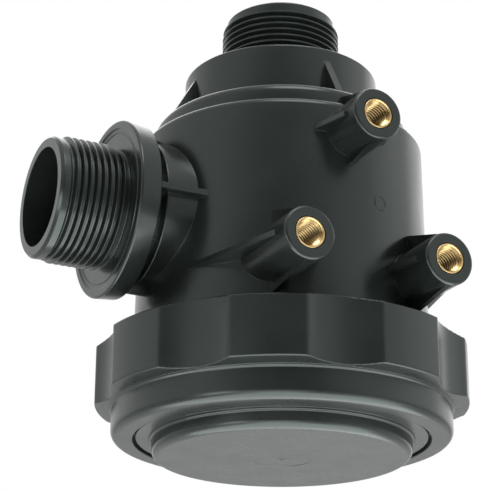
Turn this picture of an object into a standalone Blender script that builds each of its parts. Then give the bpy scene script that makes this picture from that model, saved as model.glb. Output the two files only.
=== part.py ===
"""Suction filter: a moulded housing with a side inlet and a top outlet, a lobed ring nut that clamps
the bottom cover, and a strainer cartridge that stands on the cover.

Metres, +Z up. The cover's flat underside lies on z = 0 and the filter's axis is the Z axis.
The inlet points along -X and the three mounting bosses face -Y.
"""

import math

import bmesh
import bpy
from mathutils import Matrix

MM = 0.001

# Clearances
SEAT_GAP = 0.3 * MM
THREAD_GAP = 0.4 * MM
FLANGE_GAP = 0.8 * MM
PILOT_GAP = 0.9 * MM
PLUG_GAP = 0.5 * MM
NECK_GAP = 0.7 * MM
CARTRIDGE_SIDE_GAP = 1.0 * MM

# How far cutting shapes run past the solid
CUT_BEYOND = 5 * MM
NUT_CUT_BEYOND = 2 * MM

# Facets round each kind of turned shape
MAIN_STEPS = 56
NUT_STEPS = 64
PIPE_STEPS = 36
BOSS_STEPS = 28
SMALL_STEPS = 18
FILLET_STEPS = 2
SCALLOP_STEPS = 72

# Cover
COVER_STEP_WIDTH = 5.4 * MM
COVER_EDGE_FILLET = 2.0 * MM
COVER_STEP_HEIGHT = 6.5 * MM
COVER_FLOOR_THICKNESS = 5.0 * MM
COVER_FLANGE_THICKNESS = 4.0 * MM
COVER_PLUG_HEIGHT = 13.4 * MM
COVER_PLUG_WALL = 7.2 * MM
COVER_PLUG_CHAMFER = 1.0 * MM

# Ring nut
NUT_LIP_HEIGHT = 5.8 * MM
NUT_LIP_THICKNESS = 2.5 * MM
NUT_LIP_WIDTH = 4.1 * MM
NUT_LIP_FILLET = 1.6 * MM
NUT_SKIRT_WALL = 3.2 * MM
NUT_SKIRT_HEIGHT = 9.6 * MM
NUT_BEAD_HEIGHT = 0.9 * MM
NUT_BEAD_OVERHANG = 0.7 * MM
NUT_LEDGE_HEIGHT = 1.0 * MM
NUT_GRIP_DEPTH = 5.6 * MM
NUT_HEIGHT = 32.5 * MM
NUT_TOP_CHAMFER_HEIGHT = 1.3 * MM
NUT_TOP_CHAMFER_WIDTH = 3.9 * MM
NUT_LOBES = 8
NUT_LOBE_ANGLE = math.radians(13.4)
NUT_SCALLOP_DEPTH = 4.1 * MM

# Housing barrel
THREAD_HEIGHT = 3.2 * MM
THREAD_LENGTH = 21.1 * MM
THREAD_RUNOUT = 2.0 * MM
THREAD_LEAD = 1.2 * MM
BARREL_RADIUS = 50.0 * MM
BARREL_DRAFT = 0.7 * MM
BARREL_HEIGHT = 73.4 * MM
BARREL_WALL = 4.3 * MM
BARREL_TOP_FILLET = 3.1 * MM
SHOULDER_INSET = 4.8 * MM
SHOULDER_HEIGHT = 7.7 * MM
SHOULDER_FILLET = 2.2 * MM
TOP_WALL = 4.8 * MM

# Neck and outlet on top of the housing
NECK_INSET = 10.4 * MM
NECK_HEIGHT = 19.3 * MM
NECK_WALL = 4.1 * MM
NECK_TOP_WALL = 5.0 * MM
NECK_EDGE_FILLET = 0.8 * MM
NECK_RIBS = 4
NECK_RIB_THICKNESS = 3.2 * MM
NECK_RIB_FOOT = 7.9 * MM
NECK_RIB_DROP = 4.7 * MM
NECK_RIB_STEP = 0.4 * MM

# Pipe threads, G 1 1/4
PIPE_THREAD_RADIUS = 20.955 * MM
PIPE_PLAIN_RADIUS = 19.4 * MM
PIPE_WALL = 2.9 * MM
PIPE_THREAD_CHAMFER = 0.7 * MM
OUTLET_RELIEF = 5.6 * MM
OUTLET_THREAD_LENGTH = 16.0 * MM
OUTLET_LEAD = 3.0 * MM

# Inlet on the side of the housing
INLET_HEIGHT_SHARE = 0.564
INLET_LEAD = 3.5 * MM
INLET_THREAD_LENGTH = 19.2 * MM
INLET_RELIEF = 0.5 * MM
INLET_FLANGE_STANDOFF = 15.3 * MM
INLET_FLANGE_RADIUS = 30.0 * MM
INLET_FLANGE_BACK_RADIUS = 29.4 * MM
INLET_FLANGE_THICKNESS = 7.3 * MM
INLET_FLANGE_RIM = 2.6 * MM
INLET_FLANGE_DISH = 0.5 * MM
INLET_FLANGE_FILLET = 0.8 * MM
INLET_GROOVE_RADIUS = 20.5 * MM
INLET_GROOVE_WIDTH = 4.0 * MM
INLET_COLLAR_RADIUS = 24.5 * MM
INLET_GUSSETS = 4
INLET_GUSSET_THICKNESS = 2.0 * MM
INLET_GUSSET_REACH = 28.0 * MM

# Mounting bosses with their ribs and brass inserts
BOSS_STANDOFF = 16.5 * MM
BOSS_RADIUS = 8.7 * MM
BOSS_EDGE_FILLET = 0.5 * MM
BOSS_SPREAD = 50.0 * MM
BOSS_RISE = 40.6 * MM
UPPER_BOSS_DROP = 10.9 * MM
BOSS_RIB_THICKNESS = 2.0 * MM
BOSS_RIB_SETBACK = 0.6 * MM
BOSS_SIDE_RIB_SETBACK = 5.0 * MM
RIB_INSET = 0.2 * MM
BOSS_SIDE_SLOPE = 0.26
BOSS_UPPER_SLOPE = 0.3
BOSS_LOWER_SLOPE = 0.16
INSERT_RADIUS = 5.0 * MM
INSERT_BORE_RADIUS = 3.4 * MM
INSERT_LENGTH = 14.0 * MM
INSERT_CHAMFER = 0.5 * MM
INSERT_GROOVE_DEPTH = 0.5 * MM
INSERT_GROOVE_WIDTH = 2.0 * MM

# Cartridge
RING_FLOOR = 3.0 * MM
RING_LIP_HEIGHT = 5.5 * MM
RING_LIP_WALL = 1.7 * MM
RING_WIDTH = 8.5 * MM
SLEEVE_WALL = 0.6 * MM
SUPPORT_WALL = 2.6 * MM
SUPPORT_BARS = 6
SUPPORT_BAR_ANGLE = math.radians(9.0)
SUPPORT_ROWS = 4
SUPPORT_HOOP_HEIGHT = 3.0 * MM
SUPPORT_BAY_STEPS = 4
GASKET_THICKNESS = 2.0 * MM
GASKET_WIDTH = 5.2 * MM
SPIGOT_LENGTH = 14.0 * MM
SPIGOT_WALL = 4.8 * MM
SPIGOT_CHAMFER = 0.8 * MM

# Rubber rings
COVER_RING_SECTION = 1.4 * MM
NECK_RING_SECTION = 1.2 * MM
COVER_RING_RISE = 7.1 * MM
NECK_RING_RISE = 7.2 * MM
RING_SECTION_STEPS = 8

# Heights that follow from the sizes above
LIP_TOP = NUT_LIP_HEIGHT + NUT_LIP_THICKNESS
FLANGE_BOTTOM = LIP_TOP + SEAT_GAP
FLANGE_TOP = FLANGE_BOTTOM + COVER_FLANGE_THICKNESS
PLUG_TOP = FLANGE_TOP + COVER_PLUG_HEIGHT
RIM = FLANGE_TOP + SEAT_GAP
THREAD_TOP = RIM + THREAD_LENGTH
BARREL_FOOT = THREAD_TOP + THREAD_RUNOUT
BARREL_TOP = BARREL_FOOT + BARREL_HEIGHT
SHOULDER_TOP = BARREL_TOP + SHOULDER_HEIGHT
NECK_TOP = SHOULDER_TOP + NECK_HEIGHT
OUTLET_THREAD_FOOT = NECK_TOP + OUTLET_RELIEF
OUTLET_THREAD_TOP = OUTLET_THREAD_FOOT + OUTLET_THREAD_LENGTH
OUTLET_TOP = OUTLET_THREAD_TOP + OUTLET_LEAD
CEILING = SHOULDER_TOP - TOP_WALL
NECK_CEILING = NECK_TOP - NECK_TOP_WALL
INLET_HEIGHT = BARREL_FOOT + INLET_HEIGHT_SHARE * BARREL_HEIGHT
BOSS_HEIGHT = RIM + BOSS_RISE
UPPER_BOSS_HEIGHT = BARREL_TOP - UPPER_BOSS_DROP
NUT_TOP = NUT_LIP_HEIGHT + NUT_HEIGHT

# Radii that follow from the sizes above
THREAD_CREST_RADIUS = BARREL_RADIUS + THREAD_HEIGHT
BORE_RADIUS = BARREL_RADIUS - BARREL_WALL
BARREL_TOP_RADIUS = BARREL_RADIUS - BARREL_DRAFT
SHOULDER_RADIUS = BARREL_TOP_RADIUS - SHOULDER_INSET
TOP_BORE_RADIUS = SHOULDER_RADIUS - BARREL_WALL
NECK_RADIUS = SHOULDER_RADIUS - NECK_INSET
NECK_BORE_RADIUS = NECK_RADIUS - NECK_WALL
PIPE_BORE_RADIUS = PIPE_PLAIN_RADIUS - PIPE_WALL
NUT_BORE_RADIUS = THREAD_CREST_RADIUS + THREAD_GAP
NUT_OPENING_RADIUS = NUT_BORE_RADIUS - NUT_LIP_WIDTH
NUT_SKIRT_RADIUS = NUT_BORE_RADIUS + NUT_SKIRT_WALL
NUT_GRIP_RADIUS = NUT_SKIRT_RADIUS + NUT_GRIP_DEPTH
COVER_FLANGE_RADIUS = NUT_BORE_RADIUS - FLANGE_GAP
COVER_PILOT_RADIUS = NUT_OPENING_RADIUS - PILOT_GAP
COVER_WALL_RADIUS = COVER_PILOT_RADIUS - COVER_STEP_WIDTH
COVER_PLUG_RADIUS = BORE_RADIUS - PLUG_GAP
COVER_SEAT_RADIUS = COVER_PLUG_RADIUS - COVER_PLUG_WALL
RING_RADIUS = COVER_SEAT_RADIUS - CARTRIDGE_SIDE_GAP
RING_BORE_RADIUS = RING_RADIUS - RING_WIDTH
SLEEVE_RADIUS = RING_RADIUS - RING_LIP_WALL - SEAT_GAP
SUPPORT_RADIUS = SLEEVE_RADIUS - SLEEVE_WALL - SEAT_GAP
SPIGOT_RADIUS = NECK_BORE_RADIUS - NECK_GAP
INSERT_HOLE_RADIUS = INSERT_RADIUS + SEAT_GAP

# Reaches from the filter's axis
BOSS_FACE_REACH = BARREL_RADIUS + BOSS_STANDOFF
INLET_FLANGE_REACH = BARREL_RADIUS + INLET_FLANGE_STANDOFF
INLET_THREAD_FOOT = INLET_FLANGE_REACH + INLET_RELIEF
INLET_THREAD_TOP = INLET_THREAD_FOOT + INLET_THREAD_LENGTH
INLET_REACH = INLET_THREAD_TOP + INLET_LEAD

# Cartridge heights, from the cover's floor up to the housing's ceiling
GASKET_BOTTOM = COVER_FLOOR_THICKNESS + SEAT_GAP
BOTTOM_RING_FOOT = GASKET_BOTTOM + GASKET_THICKNESS + SEAT_GAP
TOP_RING_TOP = CEILING - SEAT_GAP
SLEEVE_BOTTOM = BOTTOM_RING_FOOT + RING_FLOOR + SEAT_GAP
SLEEVE_TOP = TOP_RING_TOP - RING_FLOOR - SEAT_GAP
SPIGOT_TOP = TOP_RING_TOP + SPIGOT_LENGTH

# Materials: colour, roughness, metallic
FINISHES = {
    "black_plastic": ((0.030, 0.034, 0.032), 0.42, 0.0),
    "nut_plastic": ((0.026, 0.029, 0.028), 0.46, 0.0),
    "cover_plastic": ((0.034, 0.038, 0.036), 0.40, 0.0),
    "brass": ((0.72, 0.52, 0.25), 0.30, 1.0),
    "rubber": ((0.012, 0.012, 0.012), 0.70, 0.0),
    "blue_plastic": ((0.02, 0.09, 0.32), 0.45, 0.0),
    "steel_mesh": ((0.60, 0.60, 0.58), 0.35, 1.0),
}


def clear_scene():
    for obj in list(bpy.data.objects):
        bpy.data.objects.remove(obj, do_unlink=True)


def finish(name):
    """The named material, made the first time it is asked for."""
    found = bpy.data.materials.get(name)
    if found:
        return found
    colour, roughness, metallic = FINISHES[name]
    made = bpy.data.materials.new(name)
    made.use_nodes = True
    shader = made.node_tree.nodes["Principled BSDF"]
    shader.inputs["Base Color"].default_value = (*colour, 1.0)
    shader.inputs["Roughness"].default_value = roughness
    shader.inputs["Metallic"].default_value = metallic
    made.diffuse_color = (*colour, 1.0)
    return made


def object_from(name, bm, material):
    """A shaded object from a bmesh, with its faces turned outwards."""
    bmesh.ops.recalc_face_normals(bm, faces=bm.faces)
    if bm.calc_volume(signed=True) < 0:
        bmesh.ops.reverse_faces(bm, faces=bm.faces)
    mesh = bpy.data.meshes.new(name)
    bm.to_mesh(mesh)
    bm.free()
    mesh.shade_smooth()
    mesh.set_sharp_from_angle(angle=math.radians(30))
    mesh.materials.append(finish(material))
    made = bpy.data.objects.new(name, mesh)
    bpy.context.scene.collection.objects.link(made)
    return made


def arc(centre, radius, start, end, steps=FILLET_STEPS):
    """Points of a round corner in a profile, from one angle in degrees to another."""
    points = []
    for step in range(steps + 1):
        angle = math.radians(start + (end - start) * step / steps)
        points.append((centre[0] + radius * math.cos(angle), centre[1] + radius * math.sin(angle)))
    return points


def turned(name, profile, material, steps=MAIN_STEPS, frame=None):
    """A closed (radius, height) profile turned round Z, then placed by a matrix."""
    bm = bmesh.new()
    points = [bm.verts.new((radius, 0.0, height)) for radius, height in profile]
    edges = [bm.edges.new(pair) for pair in zip(points, points[1:] + points[:1])]
    bmesh.ops.spin(
        bm, geom=points + edges, axis=(0, 0, 1), cent=(0, 0, 0), steps=steps, angle=2 * math.pi
    )
    bmesh.ops.remove_doubles(bm, verts=bm.verts, dist=1e-6)
    # Each flat end becomes one face, without a point on the axis.
    poles = [vert for vert in bm.verts if math.hypot(vert.co.x, vert.co.y) < 1e-6]
    bmesh.ops.dissolve_verts(bm, verts=poles)
    if frame:
        bm.transform(frame)
    return object_from(name, bm, material)


def plate(name, outline, thickness, frame, material):
    """A flat plate: an outline in the frame's XY plane, as thick on one side of it as on the other."""
    bm = bmesh.new()
    face = bm.faces.new([bm.verts.new((x, y, -thickness / 2)) for x, y in outline])
    grown = bmesh.ops.extrude_face_region(bm, geom=[face])
    moved = [item for item in grown["geom"] if isinstance(item, bmesh.types.BMVert)]
    bmesh.ops.translate(bm, verts=moved, vec=(0, 0, thickness))
    bm.transform(frame)
    return object_from(name, bm, material)


def hide_helper(piece):
    piece.hide_render = True
    piece.display_type = "WIRE"


def combine(target, piece, operation):
    """Adds a Boolean with a hidden helper object to the target."""
    hide_helper(piece)
    modifier = target.modifiers.new(piece.name, "BOOLEAN")
    modifier.operation = operation
    modifier.solver = "EXACT"
    modifier.object = piece


def turn_z(angle):
    return Matrix.Rotation(angle, 4, "Z")


def along_inlet():
    """Frame whose Z runs out along the inlet, from the filter's axis towards -X."""
    return Matrix.Translation((0, 0, INLET_HEIGHT)) @ Matrix.Rotation(-math.pi / 2, 4, "Y")


def along_boss(x, z):
    """Frame whose Z runs out along a boss towards -Y, with its origin on the boss's axis at y = 0."""
    return Matrix.Translation((x, 0, z)) @ Matrix.Rotation(math.pi / 2, 4, "X")


def boss_places():
    """The axes (x, z) of the upper boss and the two lower ones."""
    return [
        (0.0, UPPER_BOSS_HEIGHT),
        (-BOSS_SPREAD / 2, BOSS_HEIGHT),
        (BOSS_SPREAD / 2, BOSS_HEIGHT),
    ]


def pipe_thread(foot, top):
    """Outside of a pipe thread in a profile: the envelope of its crests, chamfered at both ends."""
    return [
        (PIPE_PLAIN_RADIUS, foot),
        (PIPE_THREAD_RADIUS, foot + PIPE_THREAD_CHAMFER),
        (PIPE_THREAD_RADIUS, top - PIPE_THREAD_CHAMFER),
        (PIPE_PLAIN_RADIUS, top),
    ]


def housing_outside():
    """Outer profile of the housing, from its axis at the rim up to its axis at the outlet's end."""
    barrel_arc = (BARREL_TOP_RADIUS - BARREL_TOP_FILLET, BARREL_TOP - BARREL_TOP_FILLET)
    shoulder_arc = (SHOULDER_RADIUS - SHOULDER_FILLET, SHOULDER_TOP - SHOULDER_FILLET)
    neck_arc = (NECK_RADIUS - NECK_EDGE_FILLET, NECK_TOP - NECK_EDGE_FILLET)
    return [
        (0.0, RIM),
        (THREAD_CREST_RADIUS - THREAD_LEAD, RIM),
        (THREAD_CREST_RADIUS, RIM + THREAD_LEAD),
        (THREAD_CREST_RADIUS, THREAD_TOP),
        (BARREL_RADIUS, BARREL_FOOT),
        *arc(barrel_arc, BARREL_TOP_FILLET, 0, 90),
        (SHOULDER_RADIUS, BARREL_TOP),
        *arc(shoulder_arc, SHOULDER_FILLET, 0, 90),
        (NECK_RADIUS, SHOULDER_TOP),
        *arc(neck_arc, NECK_EDGE_FILLET, 0, 90, FILLET_STEPS),
        (PIPE_PLAIN_RADIUS, NECK_TOP),
        *pipe_thread(OUTLET_THREAD_FOOT, OUTLET_THREAD_TOP),
        (PIPE_PLAIN_RADIUS, OUTLET_TOP),
        (0.0, OUTLET_TOP),
    ]


def housing_cavity():
    """Profile of the room inside the housing, running out past the rim and past the outlet's end."""
    inner_step = BARREL_TOP - TOP_WALL
    return [
        (0.0, RIM - CUT_BEYOND),
        (BORE_RADIUS, RIM - CUT_BEYOND),
        (BORE_RADIUS, BARREL_FOOT),
        (BORE_RADIUS - BARREL_DRAFT, inner_step),
        (TOP_BORE_RADIUS, inner_step),
        (TOP_BORE_RADIUS, CEILING),
        (NECK_BORE_RADIUS, CEILING),
        (NECK_BORE_RADIUS, NECK_CEILING),
        (PIPE_BORE_RADIUS, NECK_CEILING),
        (PIPE_BORE_RADIUS, OUTLET_TOP + CUT_BEYOND),
        (0.0, OUTLET_TOP + CUT_BEYOND),
    ]


def inlet_outside():
    """Outer profile of the inlet along its own axis, from inside the barrel out to its end."""
    flange_back = INLET_FLANGE_REACH - INLET_FLANGE_THICKNESS
    collar_end = flange_back - INLET_GROOVE_WIDTH
    rim_arc = (INLET_FLANGE_RADIUS - INLET_FLANGE_FILLET, INLET_FLANGE_REACH - INLET_FLANGE_FILLET)
    rim_inside = INLET_FLANGE_RADIUS - INLET_FLANGE_RIM
    return [
        (0.0, BORE_RADIUS / 2),
        (INLET_COLLAR_RADIUS, BORE_RADIUS / 2),
        (INLET_COLLAR_RADIUS, collar_end),
        (INLET_GROOVE_RADIUS, collar_end),
        (INLET_GROOVE_RADIUS, flange_back),
        (INLET_FLANGE_BACK_RADIUS, flange_back),
        *arc(rim_arc, INLET_FLANGE_FILLET, 0, 90, FILLET_STEPS),
        (rim_inside, INLET_FLANGE_REACH),
        (rim_inside - INLET_FLANGE_DISH, INLET_FLANGE_REACH - INLET_FLANGE_DISH),
        (PIPE_PLAIN_RADIUS, INLET_FLANGE_REACH - INLET_FLANGE_DISH),
        *pipe_thread(INLET_THREAD_FOOT, INLET_THREAD_TOP),
        (PIPE_PLAIN_RADIUS, INLET_REACH),
        (0.0, INLET_REACH),
    ]


def add_inlet(housing):
    """Joins the inlet, with its flange, groove, collar and gussets, to the housing."""
    frame = along_inlet()
    barrel = turned("inlet_barrel", inlet_outside(), "black_plastic", PIPE_STEPS, frame)
    combine(housing, barrel, "UNION")
    in_flange = INLET_FLANGE_REACH - INLET_FLANGE_THICKNESS / 2
    for number in range(INLET_GUSSETS):
        turn = 2 * math.pi * number / INLET_GUSSETS
        upright = math.sin(turn) ** 2 < 0.5
        half = INLET_GUSSET_THICKNESS / 2
        # The sideways gussets meet the barrel further back, where it curves away from them.
        deep = BORE_RADIUS if upright else math.sqrt(BORE_RADIUS**2 - INLET_GUSSET_REACH**2)
        foot = deep + BARREL_WALL / 2 - half
        outline = [
            (INLET_GROOVE_RADIUS - half, foot),
            (INLET_GUSSET_REACH, foot),
            (INLET_GUSSET_REACH, in_flange),
            (INLET_GROOVE_RADIUS - half, in_flange),
        ]
        # The outline's x runs away from the inlet's axis and its y runs along it.
        placed = frame @ turn_z(turn) @ Matrix.Rotation(math.pi / 2, 4, "X")
        gusset = plate(
            f"inlet_gusset_{number + 1}", outline, INLET_GUSSET_THICKNESS, placed, "black_plastic"
        )
        combine(housing, gusset, "UNION")


def add_boss(housing, number, x, z):
    """Joins one mounting boss, its side rib and its upright rib to the housing."""
    wall_middle = BARREL_TOP_RADIUS - BARREL_WALL / 2
    root = math.sqrt(wall_middle**2 - x**2)
    face_arc = (BOSS_RADIUS - BOSS_EDGE_FILLET, BOSS_FACE_REACH - BOSS_EDGE_FILLET)
    shaft_root = math.sqrt(wall_middle**2 - (abs(x) + BOSS_RADIUS) ** 2)
    shaft = [
        (0.0, shaft_root),
        (BOSS_RADIUS, shaft_root),
        *arc(face_arc, BOSS_EDGE_FILLET, 0, 90, FILLET_STEPS),
        (0.0, BOSS_FACE_REACH),
    ]
    frame = along_boss(x, z)
    combine(housing, turned(f"boss_{number}", shaft, "black_plastic", BOSS_STEPS, frame), "UNION")

    front = BOSS_FACE_REACH - BOSS_RIB_SETBACK
    side_root = BARREL_RADIUS / 3
    start = BOSS_RADIUS - RIB_INSET
    side_front = BOSS_FACE_REACH - BOSS_SIDE_RIB_SETBACK
    side_start = start + BOSS_SIDE_SLOPE * (front - side_front)
    side_foot = start + BOSS_SIDE_SLOPE * (front - side_root)
    side = [(-side_start, side_front), (-side_foot, side_root), (side_foot, side_root), (side_start, side_front)]
    # Both outlines have y along the boss; x runs sideways on one and upwards on the other.
    side_frame = frame @ Matrix.Rotation(math.pi / 2, 4, "X")
    upright_frame = side_frame @ Matrix.Rotation(math.pi / 2, 4, "Y")
    side_rib = plate(f"boss_{number}_side_rib", side, BOSS_RIB_THICKNESS, side_frame, "black_plastic")
    combine(housing, side_rib, "UNION")

    at_shoulder = z + BOSS_RADIUS > BARREL_TOP - BARREL_TOP_FILLET
    upper_root = SHOULDER_RADIUS - BARREL_WALL / 2 if at_shoulder else root
    upright = [
        (start, front),
        (start + BOSS_UPPER_SLOPE * (front - upper_root), upper_root),
        (0.0, upper_root),
        (0.0, root),
        (-start - BOSS_LOWER_SLOPE * (front - root), root),
        (-start, front),
    ]
    upright_rib = plate(
        f"boss_{number}_upright_rib", upright, BOSS_RIB_THICKNESS, upright_frame, "black_plastic"
    )
    combine(housing, upright_rib, "UNION")


def add_neck_ribs(housing):
    """Joins the tapered ribs that brace the neck on the housing's top."""
    root = NECK_RADIUS - NECK_WALL / 2
    foot = SHOULDER_TOP - TOP_WALL / 2
    outline = [
        (root, foot),
        (NECK_RADIUS + NECK_RIB_FOOT, foot),
        (NECK_RADIUS + NECK_RIB_FOOT, SHOULDER_TOP + NECK_RIB_STEP),
        (NECK_RADIUS - RIB_INSET, NECK_TOP - NECK_RIB_DROP),
        (root, NECK_TOP - NECK_RIB_DROP),
    ]
    for number in range(NECK_RIBS):
        frame = turn_z(2 * math.pi * number / NECK_RIBS) @ Matrix.Rotation(math.pi / 2, 4, "X")
        rib = plate(f"neck_rib_{number + 1}", outline, NECK_RIB_THICKNESS, frame, "black_plastic")
        combine(housing, rib, "UNION")


def make_housing():
    """The moulded body: everything solid is joined first, then the hollows are cut out of it."""
    housing = turned("housing", housing_outside(), "black_plastic")
    add_inlet(housing)
    for number, (x, z) in enumerate(boss_places(), start=1):
        add_boss(housing, number, x, z)
    add_neck_ribs(housing)
    hole_foot = BOSS_FACE_REACH - INSERT_LENGTH - SEAT_GAP
    hole = [
        (0.0, hole_foot),
        (INSERT_HOLE_RADIUS, hole_foot),
        (INSERT_HOLE_RADIUS, BOSS_FACE_REACH + CUT_BEYOND),
        (0.0, BOSS_FACE_REACH + CUT_BEYOND),
    ]
    for number, (x, z) in enumerate(boss_places(), start=1):
        pocket = turned(f"insert_pocket_{number}", hole, "black_plastic", SMALL_STEPS, along_boss(x, z))
        combine(housing, pocket, "DIFFERENCE")
    cavity = turned("housing_cavity", housing_cavity(), "black_plastic")
    combine(housing, cavity, "DIFFERENCE")
    bore = [
        (0.0, 0.0),
        (PIPE_BORE_RADIUS, 0.0),
        (PIPE_BORE_RADIUS, INLET_REACH + CUT_BEYOND),
        (0.0, INLET_REACH + CUT_BEYOND),
    ]
    combine(housing, turned("inlet_bore", bore, "black_plastic", PIPE_STEPS, along_inlet()), "DIFFERENCE")
    return housing


def make_inserts():
    """Brass threaded inserts, one in each boss, grooved outside so that the plastic holds them."""
    half_groove = INSERT_GROOVE_WIDTH / 2
    middle = INSERT_LENGTH / 2
    profile = [
        (INSERT_BORE_RADIUS + INSERT_CHAMFER, 0.0),
        (INSERT_BORE_RADIUS, -INSERT_CHAMFER),
        (INSERT_BORE_RADIUS, -INSERT_LENGTH),
        (INSERT_RADIUS, -INSERT_LENGTH),
        (INSERT_RADIUS, -middle - half_groove),
        (INSERT_RADIUS - INSERT_GROOVE_DEPTH, -middle - half_groove),
        (INSERT_RADIUS - INSERT_GROOVE_DEPTH, -middle + half_groove),
        (INSERT_RADIUS, -middle + half_groove),
        (INSERT_RADIUS, 0.0),
    ]
    inserts = []
    for number, (x, z) in enumerate(boss_places(), start=1):
        insert = turned(f"insert_{number}", profile, "brass", SMALL_STEPS, Matrix.Rotation(math.pi / 2, 4, "X"))
        insert.location = (x, -BOSS_FACE_REACH, z)
        inserts.append(insert)
    return inserts


def make_ring_nut():
    """The ring nut: a turned shell with a lip, scalloped all round into grip lobes."""
    skirt_top = NUT_LIP_HEIGHT + NUT_SKIRT_HEIGHT
    bead_top = skirt_top + NUT_BEAD_HEIGHT
    grip_foot = bead_top + NUT_LEDGE_HEIGHT
    lip_arc = (NUT_SKIRT_RADIUS - NUT_LIP_FILLET, NUT_LIP_HEIGHT + NUT_LIP_FILLET)
    profile = [
        (NUT_OPENING_RADIUS, NUT_LIP_HEIGHT),
        *arc(lip_arc, NUT_LIP_FILLET, -90, 0),
        (NUT_SKIRT_RADIUS, skirt_top),
        (NUT_SKIRT_RADIUS + NUT_BEAD_OVERHANG, skirt_top + NUT_BEAD_HEIGHT / 2),
        (NUT_SKIRT_RADIUS + NUT_BEAD_OVERHANG, bead_top),
        (NUT_GRIP_RADIUS, grip_foot),
        (NUT_GRIP_RADIUS, NUT_TOP - NUT_TOP_CHAMFER_HEIGHT),
        (NUT_GRIP_RADIUS - NUT_TOP_CHAMFER_WIDTH, NUT_TOP),
        (NUT_BORE_RADIUS, NUT_TOP),
        (NUT_BORE_RADIUS, LIP_TOP),
        (NUT_OPENING_RADIUS, LIP_TOP),
    ]
    nut = turned("ring_nut", profile, "nut_plastic", NUT_STEPS)
    # A scallop spans as much of the rim as a lobe does, so its radius follows from its depth.
    quarter = math.pi / (2 * NUT_LOBES)
    edge_x, edge_y = NUT_GRIP_RADIUS * math.cos(quarter), NUT_GRIP_RADIUS * math.sin(quarter)
    floor = NUT_GRIP_RADIUS - NUT_SCALLOP_DEPTH
    scallop_radius = ((edge_x - floor) ** 2 + edge_y**2) / (2 * (edge_x - floor))
    low, high = NUT_LIP_HEIGHT - NUT_CUT_BEYOND, NUT_TOP + NUT_CUT_BEYOND
    cutter = [(0.0, low), (scallop_radius, low), (scallop_radius, high), (0.0, high)]
    for number in range(NUT_LOBES):
        turn = NUT_LOBE_ANGLE + 2 * math.pi * (number + 0.5) / NUT_LOBES
        frame = turn_z(turn) @ Matrix.Translation((floor + scallop_radius, 0, 0))
        scallop = turned(f"nut_scallop_{number + 1}", cutter, "nut_plastic", SCALLOP_STEPS, frame)
        combine(nut, scallop, "DIFFERENCE")
    return nut


def groove_in(radius, bore, section, middle):
    """A rubber ring's groove in a wall of this radius that runs in a bore, as points from bottom to top."""
    reach = section + SEAT_GAP
    floor = bore - 2 * reach
    return [(radius, middle - reach), (floor, middle - reach), (floor, middle + reach), (radius, middle + reach)]


def rubber_ring(name, bore, section, middle):
    """A rubber ring that lies in groove_in's groove and reaches to the bore's wall."""
    centre = (bore - SEAT_GAP - section, middle)
    last = 360 - 360 / RING_SECTION_STEPS
    return turned(name, arc(centre, section, 0, last, RING_SECTION_STEPS - 1), "rubber", PIPE_STEPS)


def make_cover():
    """The bottom cover: a flanged disc with a plug that carries the sealing ring."""
    edge_arc = (COVER_WALL_RADIUS - COVER_EDGE_FILLET, COVER_EDGE_FILLET)
    profile = [
        (0.0, 0.0),
        *arc(edge_arc, COVER_EDGE_FILLET, -90, 0),
        (COVER_WALL_RADIUS, COVER_STEP_HEIGHT),
        (COVER_PILOT_RADIUS, COVER_STEP_HEIGHT),
        (COVER_PILOT_RADIUS, FLANGE_BOTTOM),
        (COVER_FLANGE_RADIUS, FLANGE_BOTTOM),
        (COVER_FLANGE_RADIUS, FLANGE_TOP),
        (COVER_PLUG_RADIUS, FLANGE_TOP),
        *groove_in(COVER_PLUG_RADIUS, BORE_RADIUS, COVER_RING_SECTION, FLANGE_TOP + COVER_RING_RISE),
        (COVER_PLUG_RADIUS, PLUG_TOP - COVER_PLUG_CHAMFER),
        (COVER_PLUG_RADIUS - COVER_PLUG_CHAMFER, PLUG_TOP),
        (COVER_SEAT_RADIUS, PLUG_TOP),
        (COVER_SEAT_RADIUS, COVER_FLOOR_THICKNESS),
        (0.0, COVER_FLOOR_THICKNESS),
    ]
    return turned("cover", profile, "cover_plastic")


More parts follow.
